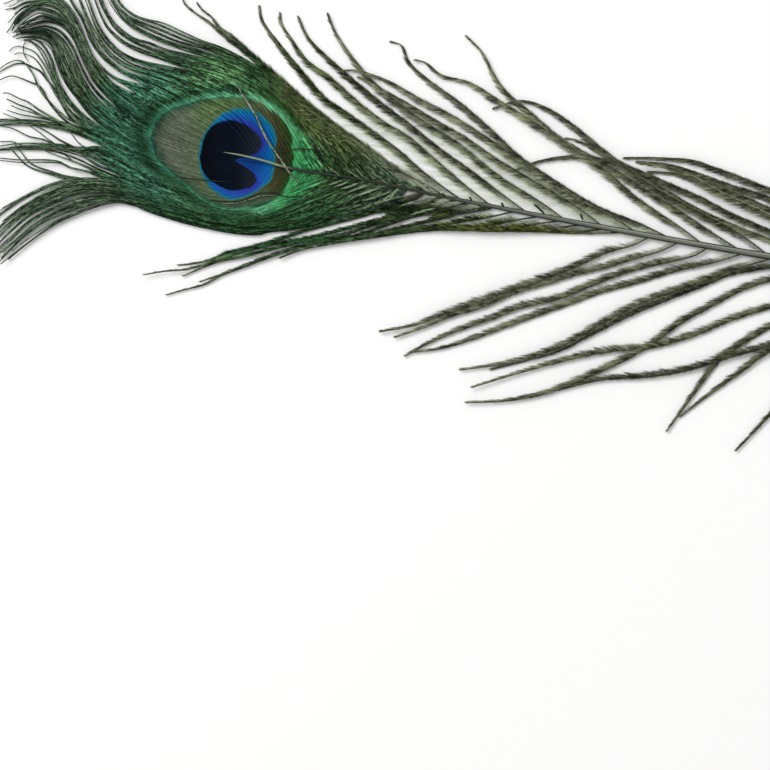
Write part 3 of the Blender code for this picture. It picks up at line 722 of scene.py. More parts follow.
@dataclass
class Plumage:
    """Gathers the points and triangles of one piece, with what its finish reads."""

    parts: list = field(default_factory=list)
    count: int = 0

    def add(self, points: np.ndarray, triangles: np.ndarray, marks: tuple, strips: tuple) -> None:
        """Add points and the triangles between them.

        Args:
            points: X, Y, Z of each point in the last axis.
            triangles: three point numbers a row, counted from these points.
            marks: barb, along, across and fuzz of the points, each spread over all of them.
            strips: U and V of the points, in the same way.
        """
        columns = []
        for values in (marks, strips):
            full = [np.broadcast_to(value, points.shape[:-1]).ravel() for value in values]
            columns.append(np.column_stack(full))
        self.parts.append((points.reshape(-1, 3), triangles + self.count, *columns))
        self.count += len(columns[0])

    def build(self, name: str, material: bpy.types.Material) -> bpy.types.Object:
        """Write the gathered parts as one object.

        Args:
            name: the piece's name.
            material: its finish.

        Returns:
            The new object, at the origin.
        """
        points, triangles, marks, strips = (np.vstack(column) for column in zip(*self.parts))
        mesh = bpy.data.meshes.new(name)
        mesh.vertices.add(len(points))
        mesh.vertices.foreach_set("co", (points * MM).astype(np.float32).ravel())
        mesh.loops.add(triangles.size)
        mesh.loops.foreach_set("vertex_index", triangles.astype(np.int32).ravel())
        mesh.polygons.add(len(triangles))
        starts = np.arange(0, triangles.size, 3, dtype=np.int32)
        mesh.polygons.foreach_set("loop_start", starts)
        mesh.polygons.foreach_set("use_smooth", np.ones(len(triangles), bool))
        mesh.update(calc_edges=True)
        for label, values in zip(("barb", "along", "across", "fuzz"), marks.T):
            layer = mesh.attributes.new(label, "FLOAT", "POINT")
            layer.data.foreach_set("value", values.astype(np.float32))
        uv = mesh.uv_layers.new(name="OFBake")
        uv.data.foreach_set("uv", strips[triangles.ravel()].astype(np.float32).ravel())
        mesh.materials.append(material)
        piece = bpy.data.objects.new(name, mesh)
        bpy.context.scene.collection.objects.link(piece)
        LOG.info("%s: %d triangles", name, len(triangles))
        return piece


def tube_triangles(tubes: int, stations: int, corners: int, flip: np.ndarray) -> np.ndarray:
    """Number the triangles of many closed tubes laid out as one block of points.

    Args:
        tubes: how many tubes.
        stations: rings in each.
        corners: points in each ring.
        flip: for each tube, whether its rings run the other way round.

    Returns:
        Three point numbers a row, sides and both end caps.
    """
    ring = np.arange(corners)
    beside = (ring + 1) % corners
    base = np.arange(stations - 1)[:, None] * corners
    a, b = base + ring, base + beside
    c, d = b + corners, a + corners
    sides = np.stack([a, b, c, a, c, d], axis=-1).reshape(-1, 3)
    spokes = np.arange(1, corners - 1)
    start = np.stack([np.zeros_like(spokes), spokes + 1, spokes], axis=-1)
    end = start[:, ::-1] + (stations - 1) * corners
    one = np.vstack([sides, start, end])
    offsets = np.arange(tubes) * stations * corners
    every = np.where(flip[:, None, None], one[:, ::-1], one)
    return (every + offsets[:, None, None]).reshape(-1, 3)


def spike_triangles(spikes: int, rings: int) -> np.ndarray:
    """Number the triangles of many three-sided spikes laid out as one block of points.

    Args:
        spikes: how many spikes.
        rings: rings in each, before its tip.

    Returns:
        Three point numbers a row, sides and the root's cap.
    """
    last = (rings - 1) * 3
    tip = last + 3
    edges = ((0, 1), (1, 2), (2, 0))
    shape = []
    for low in range(0, last, 3):
        for a, b in edges:
            shape += [(low + a, low + b, low + b + 3), (low + a, low + b + 3, low + a + 3)]
    shape += [(last + a, last + b, tip) for a, b in edges] + [(0, 2, 1)]
    offsets = np.arange(spikes)[:, None, None] * (tip + 1)
    return (np.array(shape) + offsets).reshape(-1, 3)


@dataclass
class Ribbons:
    """The flat body of each barb: its ramus and the web close beside it."""

    ridge: float = 0.12
    keel: float = 0.12
    edge_drop: float = 0.05
    flat: float = 0.85
    full_width: float = 0.3
    thinnest: float = 0.35

    def add_to(self, plumage: Plumage, barbs: Barbs, half_distal: np.ndarray,
               half_proximal: np.ndarray) -> None:
        """Add a four-sided closed ribbon along each barb.

        Args:
            plumage: the piece that takes them.
            barbs: the barbs to follow.
            half_distal: width from the ramus to the distal edge at each station.
            half_proximal: the same on the other side.
        """
        place, distal = barbs.place, barbs.distal
        slim = np.minimum(half_distal, half_proximal)
        thin = np.clip(slim / self.full_width, self.thinnest, 1.0)[..., None]
        round_share = 1 - self.flat * (1 - smoothstep(barbs.reach, 0.9, 1.3))
        relief = thin * round_share[..., None]
        corners = np.stack([
            place - distal * half_proximal[..., None] - UP * self.edge_drop * relief,
            place + UP * self.ridge * relief,
            place + distal * half_distal[..., None] - UP * self.edge_drop * relief,
            place - UP * self.keel * thin,
        ], axis=2)
        count, stations = place.shape[:2]
        across = np.array((-1.0, 0.0, 1.0, 0.0))
        row = np.arange(count)[:, None, None]
        plumage.add(
            corners, tube_triangles(count, stations, 4, barbs.side > 0),
            (barbs.chance[:, None, None], barbs.length()[..., None], across, 0.0),
            (np.linspace(0, 1, stations)[:, None], (row + 0.27 + 0.22 * across) / count))


@dataclass
class Spots(Rows):
    """Where barbules stand, one value for each in every array."""

    barb: np.ndarray  # number of the barb
    share: np.ndarray  # 0 at the barb's root, 1 at its tip
    along: np.ndarray  # distance from the root
    left: np.ndarray  # distance to the tip
    reach: np.ndarray  # from the closed vane's centre
    place: np.ndarray
    tangent: np.ndarray
    distal: np.ndarray
    wave: np.ndarray  # a slow swing along the barb


@dataclass
class Barbules:
    """A row of fine blades along one side of each barb."""

    distal: bool
    spacing: float
    length: Callable[[Spots], np.ndarray]
    density: Callable[[Spots], np.ndarray]
    angle: float
    width: float = 0.12
    thickness: float = 0.05
    bent: bool = False
    length_spread: float = 0.12
    clump: float = 4.0
    rise_spread: float = 0.12
    lift: float = 0.04
    pale: float = 0.0
    shortest: float = 0.12
    past_tip: float = 0.5
    closing: float = 0.45
    uneven: float = 0.35
    size_range: tuple = (0.8, 1.15)
    turn_spread: float = 4.0
    most_fall: float = 0.3
    forward: float = 0.35

    def spots(self, barbs: Barbs, rng: np.random.Generator) -> Spots:
        """Choose where blades may stand, almost evenly spaced.

        Args:
            barbs: the barbs they stand on.
            rng: the source of small differences.

        Returns:
            The spots, barb by barb.
        """
        lengths = barbs.length()
        counts = (lengths[:, -1] / self.spacing).astype(int)
        barb = np.repeat(np.arange(len(counts)), counts)
        order = np.concatenate([np.arange(count) for count in counts])
        share = (order + rng.uniform(-self.uneven, self.uneven, len(order))) / counts[barb]
        share = np.clip(share, 0, 0.999)
        along, reach, place, tangent, distal = (
            read_between(values, barb, share)
            for values in (lengths, barbs.reach, barbs.place, barbs.tangent(), barbs.distal))
        wave = np.sin(along * 3.1 + barb * 2.3) + np.sin(along * 1.3 + barb)
        return Spots(barb, share, along, lengths[barb, -1] - along, reach, place,
                     unit(tangent), unit(distal), wave)

    def blades(self, spots: Spots, size: np.ndarray,
               rng: np.random.Generator) -> tuple[np.ndarray, np.ndarray]:
        """Draw a slender three-sided spike at each spot.

        Args:
            spots: where they stand.
            size: how long each is.
            rng: the source of small differences.

        Returns:
            Each spike's points, ring by ring and then the tip, and how far along it they are.
        """
        count = len(size)
        lean = self.angle + self.clump * np.roll(spots.wave, 3)
        lean = lean + rng.normal(0, self.turn_spread, count)
        turn = np.radians(lean * taper(spots.share, 0.6, self.closing))[:, None]
        slope = rng.normal(0, self.rise_spread, count)[:, None]
        outward = spots.distal * (1 if self.distal else -1)
        ahead = unit(spots.tangent * np.cos(turn) + outward * np.sin(turn) + UP * slope)
        aside = unit(np.cross(UP, ahead))
        above = np.cross(ahead, aside)
        wide = self.width * np.clip(size / 1.2, 0.6, 1.2)[:, None]
        long = size[:, None]

        def ring(middle: np.ndarray, half: float, rise: float) -> np.ndarray:
            """Place three corners round a point of the spike."""
            return np.stack([middle - aside * wide * half, middle + aside * wide * half,
                             middle + above * self.thickness * rise], axis=1)

        root = spots.place + UP * self.lift
        if self.bent:
            knee = root + ahead * long * 0.5
            knee[:, 2] = np.maximum(knee[:, 2], CLEAR_OF_FLOOR)
            rings, level = [ring(root, 0.5, 1.0), ring(knee, 0.38, 0.8)], [0, 0.5, 1]
            fall = UP * rng.uniform(0, self.most_fall, count)[:, None]
            tip = knee + unit(ahead + spots.tangent * self.forward - fall) * long * 0.5
        else:
            rings, level = [ring(root, 0.5, 1.0)], [0, 1]
            tip = root + ahead * long
        tip[:, 2] = np.maximum(tip[:, 2], CLEAR_OF_FLOOR)
        return np.concatenate(rings + [tip[:, None]], axis=1), np.repeat(level, 3)[:-2]

    def add_to(self, plumage: Plumage, barbs: Barbs, seed: int) -> None:
        """Add the blades to a piece.

        Args:
            plumage: the piece that takes them.
            barbs: the barbs they stand on.
            seed: the seed of their small differences.
        """
        rng = np.random.default_rng(seed)
        spots = self.spots(barbs, rng)
        size = self.length(spots) * (1 + self.length_spread * spots.wave)
        size = size * rng.uniform(*self.size_range, len(size))
        size = np.minimum(size, spots.left + self.past_tip)
        wanted = (size > self.shortest) & (rng.random(len(size)) < self.density(spots))
        spots, size = spots.pick(wanted), size[wanted]
        block, level = self.blades(spots, size, rng)
        count, corners = block.shape[:2]
        side, start = (1, 0.62) if self.distal else (-1, 0.82)
        nudge = np.resize((-0.5, 0.5, 0.0), corners) * 0.6 * self.spacing
        along, left = spots.along[:, None], spots.left[:, None]
        row = spots.barb[:, None]
        plumage.add(
            block, spike_triangles(count, corners // 3),
            (barbs.chance[row], along, level * side, 1 + self.pale),
            (np.clip((along + nudge) / (along + left), 0, 1),
             (row + start + 0.14 * level) / len(barbs.root)))


class Graph:
    """Adds nodes to a node tree, one call a node."""

    def __init__(self, tree: bpy.types.NodeTree) -> None:
        """Work on this tree."""
        self.tree = tree

    def node(self, kind: str, **settings: object) -> bpy.types.Node:
        """Add a node and set its properties."""
        made = self.tree.nodes.new(kind)
        for name, value in settings.items():
            setattr(made, name, value)
        return made

    def feed(self, socket: bpy.types.NodeSocket, value: object) -> None:
        """Link a socket into another, or set a plain value or colour on it.

        Args:
            socket: the input.
            value: an output, a number, a vector, or a colour of three numbers.
        """
        if isinstance(value, bpy.types.NodeSocket):
            self.tree.links.new(value, socket)
        elif socket.type == "RGBA":
            socket.default_value = (*value, 1.0)
        else:
            socket.default_value = value

    def filled(self, made: bpy.types.Node, *values: object) -> bpy.types.NodeSocket:
        """Feed a node's inputs in order, and give its first output."""
        for socket, value in zip(made.inputs, values):
            self.feed(socket, value)
        return made.outputs[0]

    def math(self, operation: str, *values: object) -> bpy.types.NodeSocket:
        """Work out one number from up to three."""
        return self.filled(self.node("ShaderNodeMath", operation=operation), *values)

    def vector(self, operation: str, *values: object) -> bpy.types.NodeSocket:
        """Work out one vector from others."""
        return self.filled(self.node("ShaderNodeVectorMath", operation=operation), *values)

    def dot(self, first: object, second: object) -> bpy.types.NodeSocket:
        """Work out the dot product of two vectors."""
        return self.vector("DOT_PRODUCT", first, second).node.outputs["Value"]

    def join(self, *values: object) -> bpy.types.NodeSocket:
        """Make a vector of three numbers."""
        return self.filled(self.node("ShaderNodeCombineXYZ"), *values)

    def split(self, vector: object) -> tuple[bpy.types.NodeSocket, ...]:
        """Give a vector's X, Y and Z."""
        parts = self.node("ShaderNodeSeparateXYZ")
        self.feed(parts.inputs[0], vector)
        return tuple(parts.outputs)

    def spread(self, value: object, low: object, high: object, first: float = 0.0,
               second: float = 1.0) -> bpy.types.NodeSocket:
        """Map a number from one range to another, held at its ends.

        Args:
            value: the number.
            low: where its range starts.
            high: where its range ends.
            first: the result at low.
            second: the result at high.

        Returns:
            The result.
        """
        return self.filled(self.node("ShaderNodeMapRange"), value, low, high, first, second)

    def both(self, *masks: object) -> bpy.types.NodeSocket:
        """Keep what all masks keep."""
        return reduce(lambda kept, mask: self.math("MULTIPLY", kept, mask), masks)

    def either(self, *masks: object) -> bpy.types.NodeSocket:
        """Keep what any mask keeps."""
        return reduce(lambda kept, mask: self.math("MAXIMUM", kept, mask), masks)

    def zone(self, *edges: tuple) -> bpy.types.NodeSocket:
        """Make a mask of edges, each a value, where it starts and ends, and maybe its two levels."""
        return self.both(*(self.spread(*edge) for edge in edges))

    def mix(self, share: object, first: object, second: object,
            blend: str = "MIX") -> bpy.types.NodeSocket:
        """Mix two colours.

        Args:
            share: how much of the second colour.
            first: a colour.
            second: another.
            blend: how the second acts on the first.

        Returns:
            The mixed colour.
        """
        made = self.node("ShaderNodeMix", data_type="RGBA", blend_type=blend)
        for socket, value in zip((made.inputs[0], *made.inputs[6:8]), (share, first, second)):
            self.feed(socket, value)
        return made.outputs[2]

    def coats(self, paint: object, *coats: tuple) -> bpy.types.NodeSocket:
        """Lay colours over each other.

        Args:
            paint: the lowest colour.
            coats: a colour each, followed by the edges of its zone.

        Returns:
            The colour that shows.
        """
        for colour, *edges in coats:
            paint = self.mix(self.zone(*edges), paint, colour)
        return paint

    def ramp(self, value: object, stops: tuple) -> bpy.types.NodeSocket:
        """Turn a number into a colour.

        Args:
            value: the number.
            stops: place and colour of each stop.

        Returns:
            The colour.
        """
        made = self.node("ShaderNodeValToRGB")
        elements = made.color_ramp.elements
        while len(elements) < len(stops):
            elements.new(0.5)
        for element, (place, colour) in zip(elements, stops):
            element.position = place
            element.color = (*colour, 1.0)
        return self.filled(made, value)

    def noise(self, where: object, detail: float) -> bpy.types.NodeSocket:
        """Read a noise pattern of size 1.

        Args:
            where: the place to read.
            detail: how many finer layers it has.

        Returns:
            The value there.
        """
        made = self.node("ShaderNodeTexNoise")
        made.inputs["Scale"].default_value = 1.0
        made.inputs["Detail"].default_value = detail
        self.feed(made.inputs["Vector"], where)
        return made.outputs["Fac"]

    def mark(self, name: str) -> bpy.types.NodeSocket:
        """Read a number that the mesh carries."""
        return self.node("ShaderNodeAttribute", attribute_name=name).outputs["Fac"]

    def off_ramus(self) -> bpy.types.NodeSocket:
        """Read how far off the ramus a place is, 0 to 1 on either side."""
        return self.math("ABSOLUTE", self.mark("across"))

    def here(self) -> bpy.types.NodeSocket:
        """Read the place on the feather, in millimetres."""
        place = self.node("ShaderNodeTexCoord").outputs["Object"]
        return self.vector("MULTIPLY", place, (1 / MM, 1 / MM, 1 / MM))

    def above_shaft(self, x: bpy.types.NodeSocket, y: bpy.types.NodeSocket) -> bpy.types.NodeSocket:
        """Say how far above the shaft a place is."""
        return self.math("MULTIPLY_ADD", x, SHAFT_SLOPE, y)

    def away(self, here: bpy.types.NodeSocket, centre: tuple, *stretch: float) -> bpy.types.NodeSocket:
        """Give the way from a centre on XY, with each axis stretched."""
        offset = self.vector("SUBTRACT", here, (*centre, 0.0))
        return self.vector("MULTIPLY", offset, (*stretch, 0.0))


def new_group(name: str, inputs: dict, outputs: dict) -> tuple[Graph, dict, bpy.types.Node]:
    """Start a shader node group.

    Args:
        name: the group's name.
        inputs: the value of each input, by name.
        outputs: the kind of each output, by name.

    Returns:
        The group's graph, its inputs by name, and its output node.
    """
    tree = bpy.data.node_groups.new(name, "ShaderNodeTree")
    for label, value in inputs.items():
        socket = tree.interface.new_socket(label, in_out="INPUT", socket_type="NodeSocketFloat")
        socket.default_value = value
    for label, kind in outputs.items():
        tree.interface.new_socket(label, in_out="OUTPUT", socket_type="NodeSocket" + kind)
    graph = Graph(tree)
    entry = graph.node("NodeGroupInput")
    return graph, {label: entry.outputs[label] for label in inputs}, graph.node("NodeGroupOutput")


def start_material(name: str) -> tuple[bpy.types.Material, Graph, bpy.types.Node]:
    """Start a material.

    Args:
        name: its name.

    Returns:
        The material, its graph and its shader.
    """
    material = bpy.data.materials.new(name)
    material.use_nodes = True
    return material, Graph(material.node_tree), material.node_tree.nodes["Principled BSDF"]


def dress(graph: Graph, shader: bpy.types.Node, colour: bpy.types.NodeSocket, rough: tuple,
          gloss: float, height: bpy.types.NodeSocket, strength: float = 0.3,
          depth_m: float = 0.0001) -> None:
    """Give a shader its colour, its gloss and its fine relief.

    Args:
        graph: the material's graph.
        shader: its shader.
        colour: the colour.
        rough: what the roughness follows, and its value where that is low and high.
        gloss: the specular level.
        height: the relief.
        strength: how strongly the relief shows.
        depth_m: the relief's depth in metres.
    """
    bump = graph.node("ShaderNodeBump")
    bump.inputs["Strength"].default_value = strength
    bump.inputs["Distance"].default_value = depth_m
    graph.feed(bump.inputs["Height"], height)
    value, smoothest, roughest = rough
    graph.feed(shader.inputs["Base Color"], colour)
    graph.feed(shader.inputs["Roughness"], graph.spread(value, 0.2, 0.8, smoothest, roughest))
    graph.feed(shader.inputs["Normal"], bump.outputs[0])
    shader.inputs["Specular IOR Level"].default_value = gloss


def srgb(red: int, green: int, blue: int) -> tuple[float, float, float]:
    """Turn a screen colour into the renderer's own."""
    return tuple(((c / 255 + 0.055) / 1.055) ** 2.4 for c in (red, green, blue))


@dataclass(frozen=True)
class EyeColours:
    """Colours of the eye's zones, as seen in daylight."""

    heart_left: tuple = srgb(2, 6, 15)
    heart: tuple = srgb(6, 14, 28)
    heart_lobe: tuple = srgb(29, 35, 46)
    blue: tuple = (
        (0.45, srgb(12, 58, 122)), (0.72, srgb(10, 80, 150)), (0.86, srgb(8, 96, 162)),
        (0.94, srgb(16, 104, 142)), (0.985, srgb(46, 114, 122)), (1.0, srgb(46, 94, 80)),
    )
    blue_low: tuple = srgb(34, 78, 168)
    violet: tuple = srgb(44, 38, 150)
    bronze_far: tuple = srgb(96, 104, 88)
    bronze_near: tuple = srgb(88, 104, 74)
    gold: tuple = srgb(82, 106, 66)
    brown: tuple = srgb(70, 70, 43)
    bronze_dark: tuple = srgb(41, 46, 25)
    bronze_low: tuple = srgb(74, 98, 76)
    bronze_edge: tuple = srgb(50, 76, 60)
    bronze_green: tuple = srgb(38, 68, 28)
    outer_line: tuple = srgb(22, 62, 46)
    rim_left: tuple = srgb(64, 126, 100)
    rim_top: tuple = srgb(96, 168, 124)
    rim_right: tuple = srgb(70, 160, 98)
    rim_low: tuple = srgb(46, 100, 62)
    rim_shaded: tuple = srgb(28, 66, 44)
    outer_ring: tuple = srgb(40, 76, 50)
    field_near: tuple = srgb(64, 104, 66)
    field_far: tuple = srgb(50, 70, 46)
    field_teal: tuple = srgb(56, 98, 78)
    field_low: tuple = srgb(40, 70, 42)
    field_light: tuple = srgb(88, 130, 86)
    field_olive: tuple = srgb(76, 88, 52)
    field_deep: tuple = srgb(48, 70, 40)
    field_band: tuple = srgb(36, 74, 30)


def outline_ratio(graph: Graph, here: bpy.types.NodeSocket, centre: tuple,
                  outline: tuple) -> bpy.types.NodeSocket:
    """Say how far a place is from a zone's centre.

    Args:
        graph: the graph that takes the nodes.
        here: the place.
        centre: the zone's centre.
        outline: degrees round it and the distance of the outline there.

    Returns:
        0 at the centre, 1 on the outline, more outside.
    """
    away = graph.away(here, centre, 1.0, 1.0)
    x, y, _ = graph.split(away)
    curve = graph.node("ShaderNodeFloatCurve")
    angle = graph.math("ARCTAN2", y, x)
    graph.feed(curve.inputs["Value"], graph.math("MULTIPLY_ADD", angle, 0.5 / math.pi, 0.5))
    line = curve.mapping.curves[0]
    while len(line.points) < len(outline):
        line.points.new(0.5, 0.5)
    for point, (degrees, reach) in zip(line.points, outline):
        point.location = (degrees / 360 + 0.5, reach / OUTLINE_REACH)
        point.handle_type = "AUTO_CLAMPED"
    curve.mapping.update()
    radius = graph.math("MULTIPLY", curve.outputs[0], OUTLINE_REACH)
    return graph.math("DIVIDE", graph.math("SQRT", graph.dot(away, away)), radius)


def eye_group(colours: EyeColours) -> bpy.types.NodeTree:
    """Paint the eye: heart, blue ring, bronze zone, green rims and the vane around.

    Args:
        colours: the zones' colours.

    Returns:
        A group with a colour, the reach from the bronze zone's outline and how much
        the barbs differ there.
    """
    graph, inputs, exit_node = new_group(
        "eye_zones", {"Stagger": 0.0}, {"Color": "Color", "Reach": "Float", "Relief": "Float"})
    here = graph.here()
    x, y, _ = graph.split(here)
    outside, ring, core = (
        graph.math("MULTIPLY_ADD", inputs["Stagger"], 0.032,
                   outline_ratio(graph, here, centre, outline))
        for centre, outline in ((BRONZE_CENTRE, BRONZE_OUTLINE), (BLUE_CENTRE, BLUE_OUTLINE),
                                (HEART_CENTRE, HEART_OUTLINE)))
    to_edge = graph.dot(here, (0.55, 0.84, 0.0))
    off_shaft = graph.math("ABSOLUTE", graph.above_shaft(x, y))
    patch = graph.away(here, LIGHT_PATCH, 0.8, 1.3)
    bright = graph.zone((x, 3, 8), (y, -11, -8))
    wide = graph.math("ADD", graph.zone((x, 4, 14, 0, 0.24), (y, 9, -4), (y, -15, -9)), 1.075)
    wide = graph.math("ADD", wide, graph.zone((x, 2, 6, 0, 0.08), (x, 14, 11), (y, -10, -12)))
    fade = graph.math("MULTIPLY_ADD", wide, 0.4, -0.36)
    past_rim = graph.math("SUBTRACT", outside, wide)
    around = graph.coats(
        colours.field_near,
        (colours.field_far, (outside, 1.2, 1.9)),
        (colours.field_teal, (x, -8, -24), (outside, 2.1, 1.6)),
        (colours.field_olive, (x, 4, 14), (to_edge, 12, 17)),
        (colours.field_deep, (x, 16, 30), (off_shaft, 8, 3)),
        (colours.field_low, (y, -11, -17)),
        (colours.field_light, (graph.dot(patch, patch), 60, 10, 0, 0.8)),
        (colours.outer_ring, (outside, 1.3, 1.2), (x, 6, -2)),
        (colours.field_band, (outside, 1.28, 1.17, 0, 0.8), (x, 2, 7), (y, 3, 8)),
    )
    rim = graph.coats(
        colours.rim_left,
        (colours.rim_top, (x, -19, -4)),
        (colours.rim_right, (x, 6, 14), (y, 12, 2)),
        (colours.rim_low, (outside, 1.07, 1.16, 0, 0.75), (x, 7, 11), (y, -2, -5), (y, -12, -9)),
        (colours.rim_shaded, (outside, 1.03, 1.06, 0, 0.85), (x, 5, 0), (y, -3, -8)),
    )
    bronze = graph.coats(
        colours.bronze_far,
        (colours.bronze_near, (x, -17, -10)),
        (colours.gold, (x, -15, -8), (x, 7, 0), (y, 5, 12)),
        (colours.brown, (x, 0, 9)),
        (colours.bronze_dark, (x, 7, 14)),
        (colours.bronze_low, (y, -9, -14)),
        (colours.bronze_edge, (outside, 0.84, 0.98, 0, 0.8), (x, -6, -12)),
        (colours.bronze_green, (outside, 0.88, 0.96, 0, 0.7), (x, 9, 12)),
    )
    blue = graph.coats(
        graph.ramp(ring, colours.blue),
        (colours.blue_low, (y, -3, -9), (ring, 0.97, 0.9, 0, 0.7)),
        (colours.violet, (core, 1.22, 1.04, 0, 0.7), (x, -6, 1)),
    )
    heart = graph.coats(
        colours.heart_left, (colours.heart, (x, -10, -4)), (colours.heart_lobe, (x, -1, 5)))
    paint = graph.coats(
        rim,
        (around, (past_rim, -0.03, fade)),
        (colours.outer_line, (outside, 1.04, 1.022, 0, 0.75), (bright, 0, 1, 1, 0)),
        (colours.outer_line, (outside, 1.065, 1.045, 0, 0.85), (x, 1, 4), (x, 10, 7), (y, -8, -11)),
        (bronze, (outside, 1.008, 0.992)),
        (blue, (ring, 1.02, 0.99)),
        (heart, (core, 1.02, 0.98)),
    )
    calm = graph.math("ADD", graph.zone((x, 2, 9), (outside, 1.5, 1.35, 0, -0.3)), 1.0)
    relief = graph.zone((outside, 1.04, 1.34, 0.55, 2.7), (ring, 0.96, 1.06, 0.22, 1.0),
                        (calm, 0, 1), (outside, 1.8, 2.6, 1.0, 0.6))
    for label, value in (("Color", paint), ("Reach", outside), ("Relief", relief)):
        graph.feed(exit_node.inputs[label], value)
    return graph.tree


def streak_group() -> bpy.types.NodeTree:
    """Draw what runs along and across a barb: its ramus, painted shade in the gaps at its edges, and
    its barbules.

    Returns:
        A group with masks of ramus and of painted gap shade at the edges, a light-and-dark value,
        a broader one, one that belongs to the whole barb, and a height.
    """
    labels = ("Ramus", "Edge", "Tone", "Broad", "Own", "Height")
    graph, inputs, exit_node = new_group(
        "barb_streaks", {"Ramus Width": 0.25, "Slant": 0.7}, dict.fromkeys(labels, "Float"))
    signed, along, barb = (graph.mark(name) for name in ("across", "along", "barb"))
    across = graph.math("ABSOLUTE", signed)
    body = graph.spread(graph.mark("fuzz"), 0, 1, 1, 0)
    slanted = graph.math("SUBTRACT", along, graph.math("MULTIPLY", across, inputs["Slant"]))
    strip = graph.join(slanted, signed, barb)
    fine, dashes, broad = (
        graph.noise(graph.vector("MULTIPLY", strip, scale), detail)
        for scale, detail in (((3.6, 0.7, 97.0), 1.0), ((0.8, 1.3, 71.0), 1.0),
                              ((0.22, 0.5, 53.0), 2.0)))
    tone = graph.dot(graph.join(fine, dashes, broad), (0.25, 0.45, 0.3))
    ramus = graph.both(body, graph.spread(across, 0, inputs["Ramus Width"], 1, 0))
    ragged = graph.math("MULTIPLY_ADD", dashes, 0.7, across)
    # Painted shade in the gaps between barbs, along each barb's ragged edges.
    edge = graph.both(body, graph.spread(ragged, 1.05, 1.3))
    own = graph.math("FRACT", graph.math("MULTIPLY", barb, 57.31))
    height = graph.math("ADD", fine, ramus)
    for label, value in zip(labels, (ramus, edge, tone, broad, own, height)):
        graph.feed(exit_node.inputs[label], value)
    return graph.tree


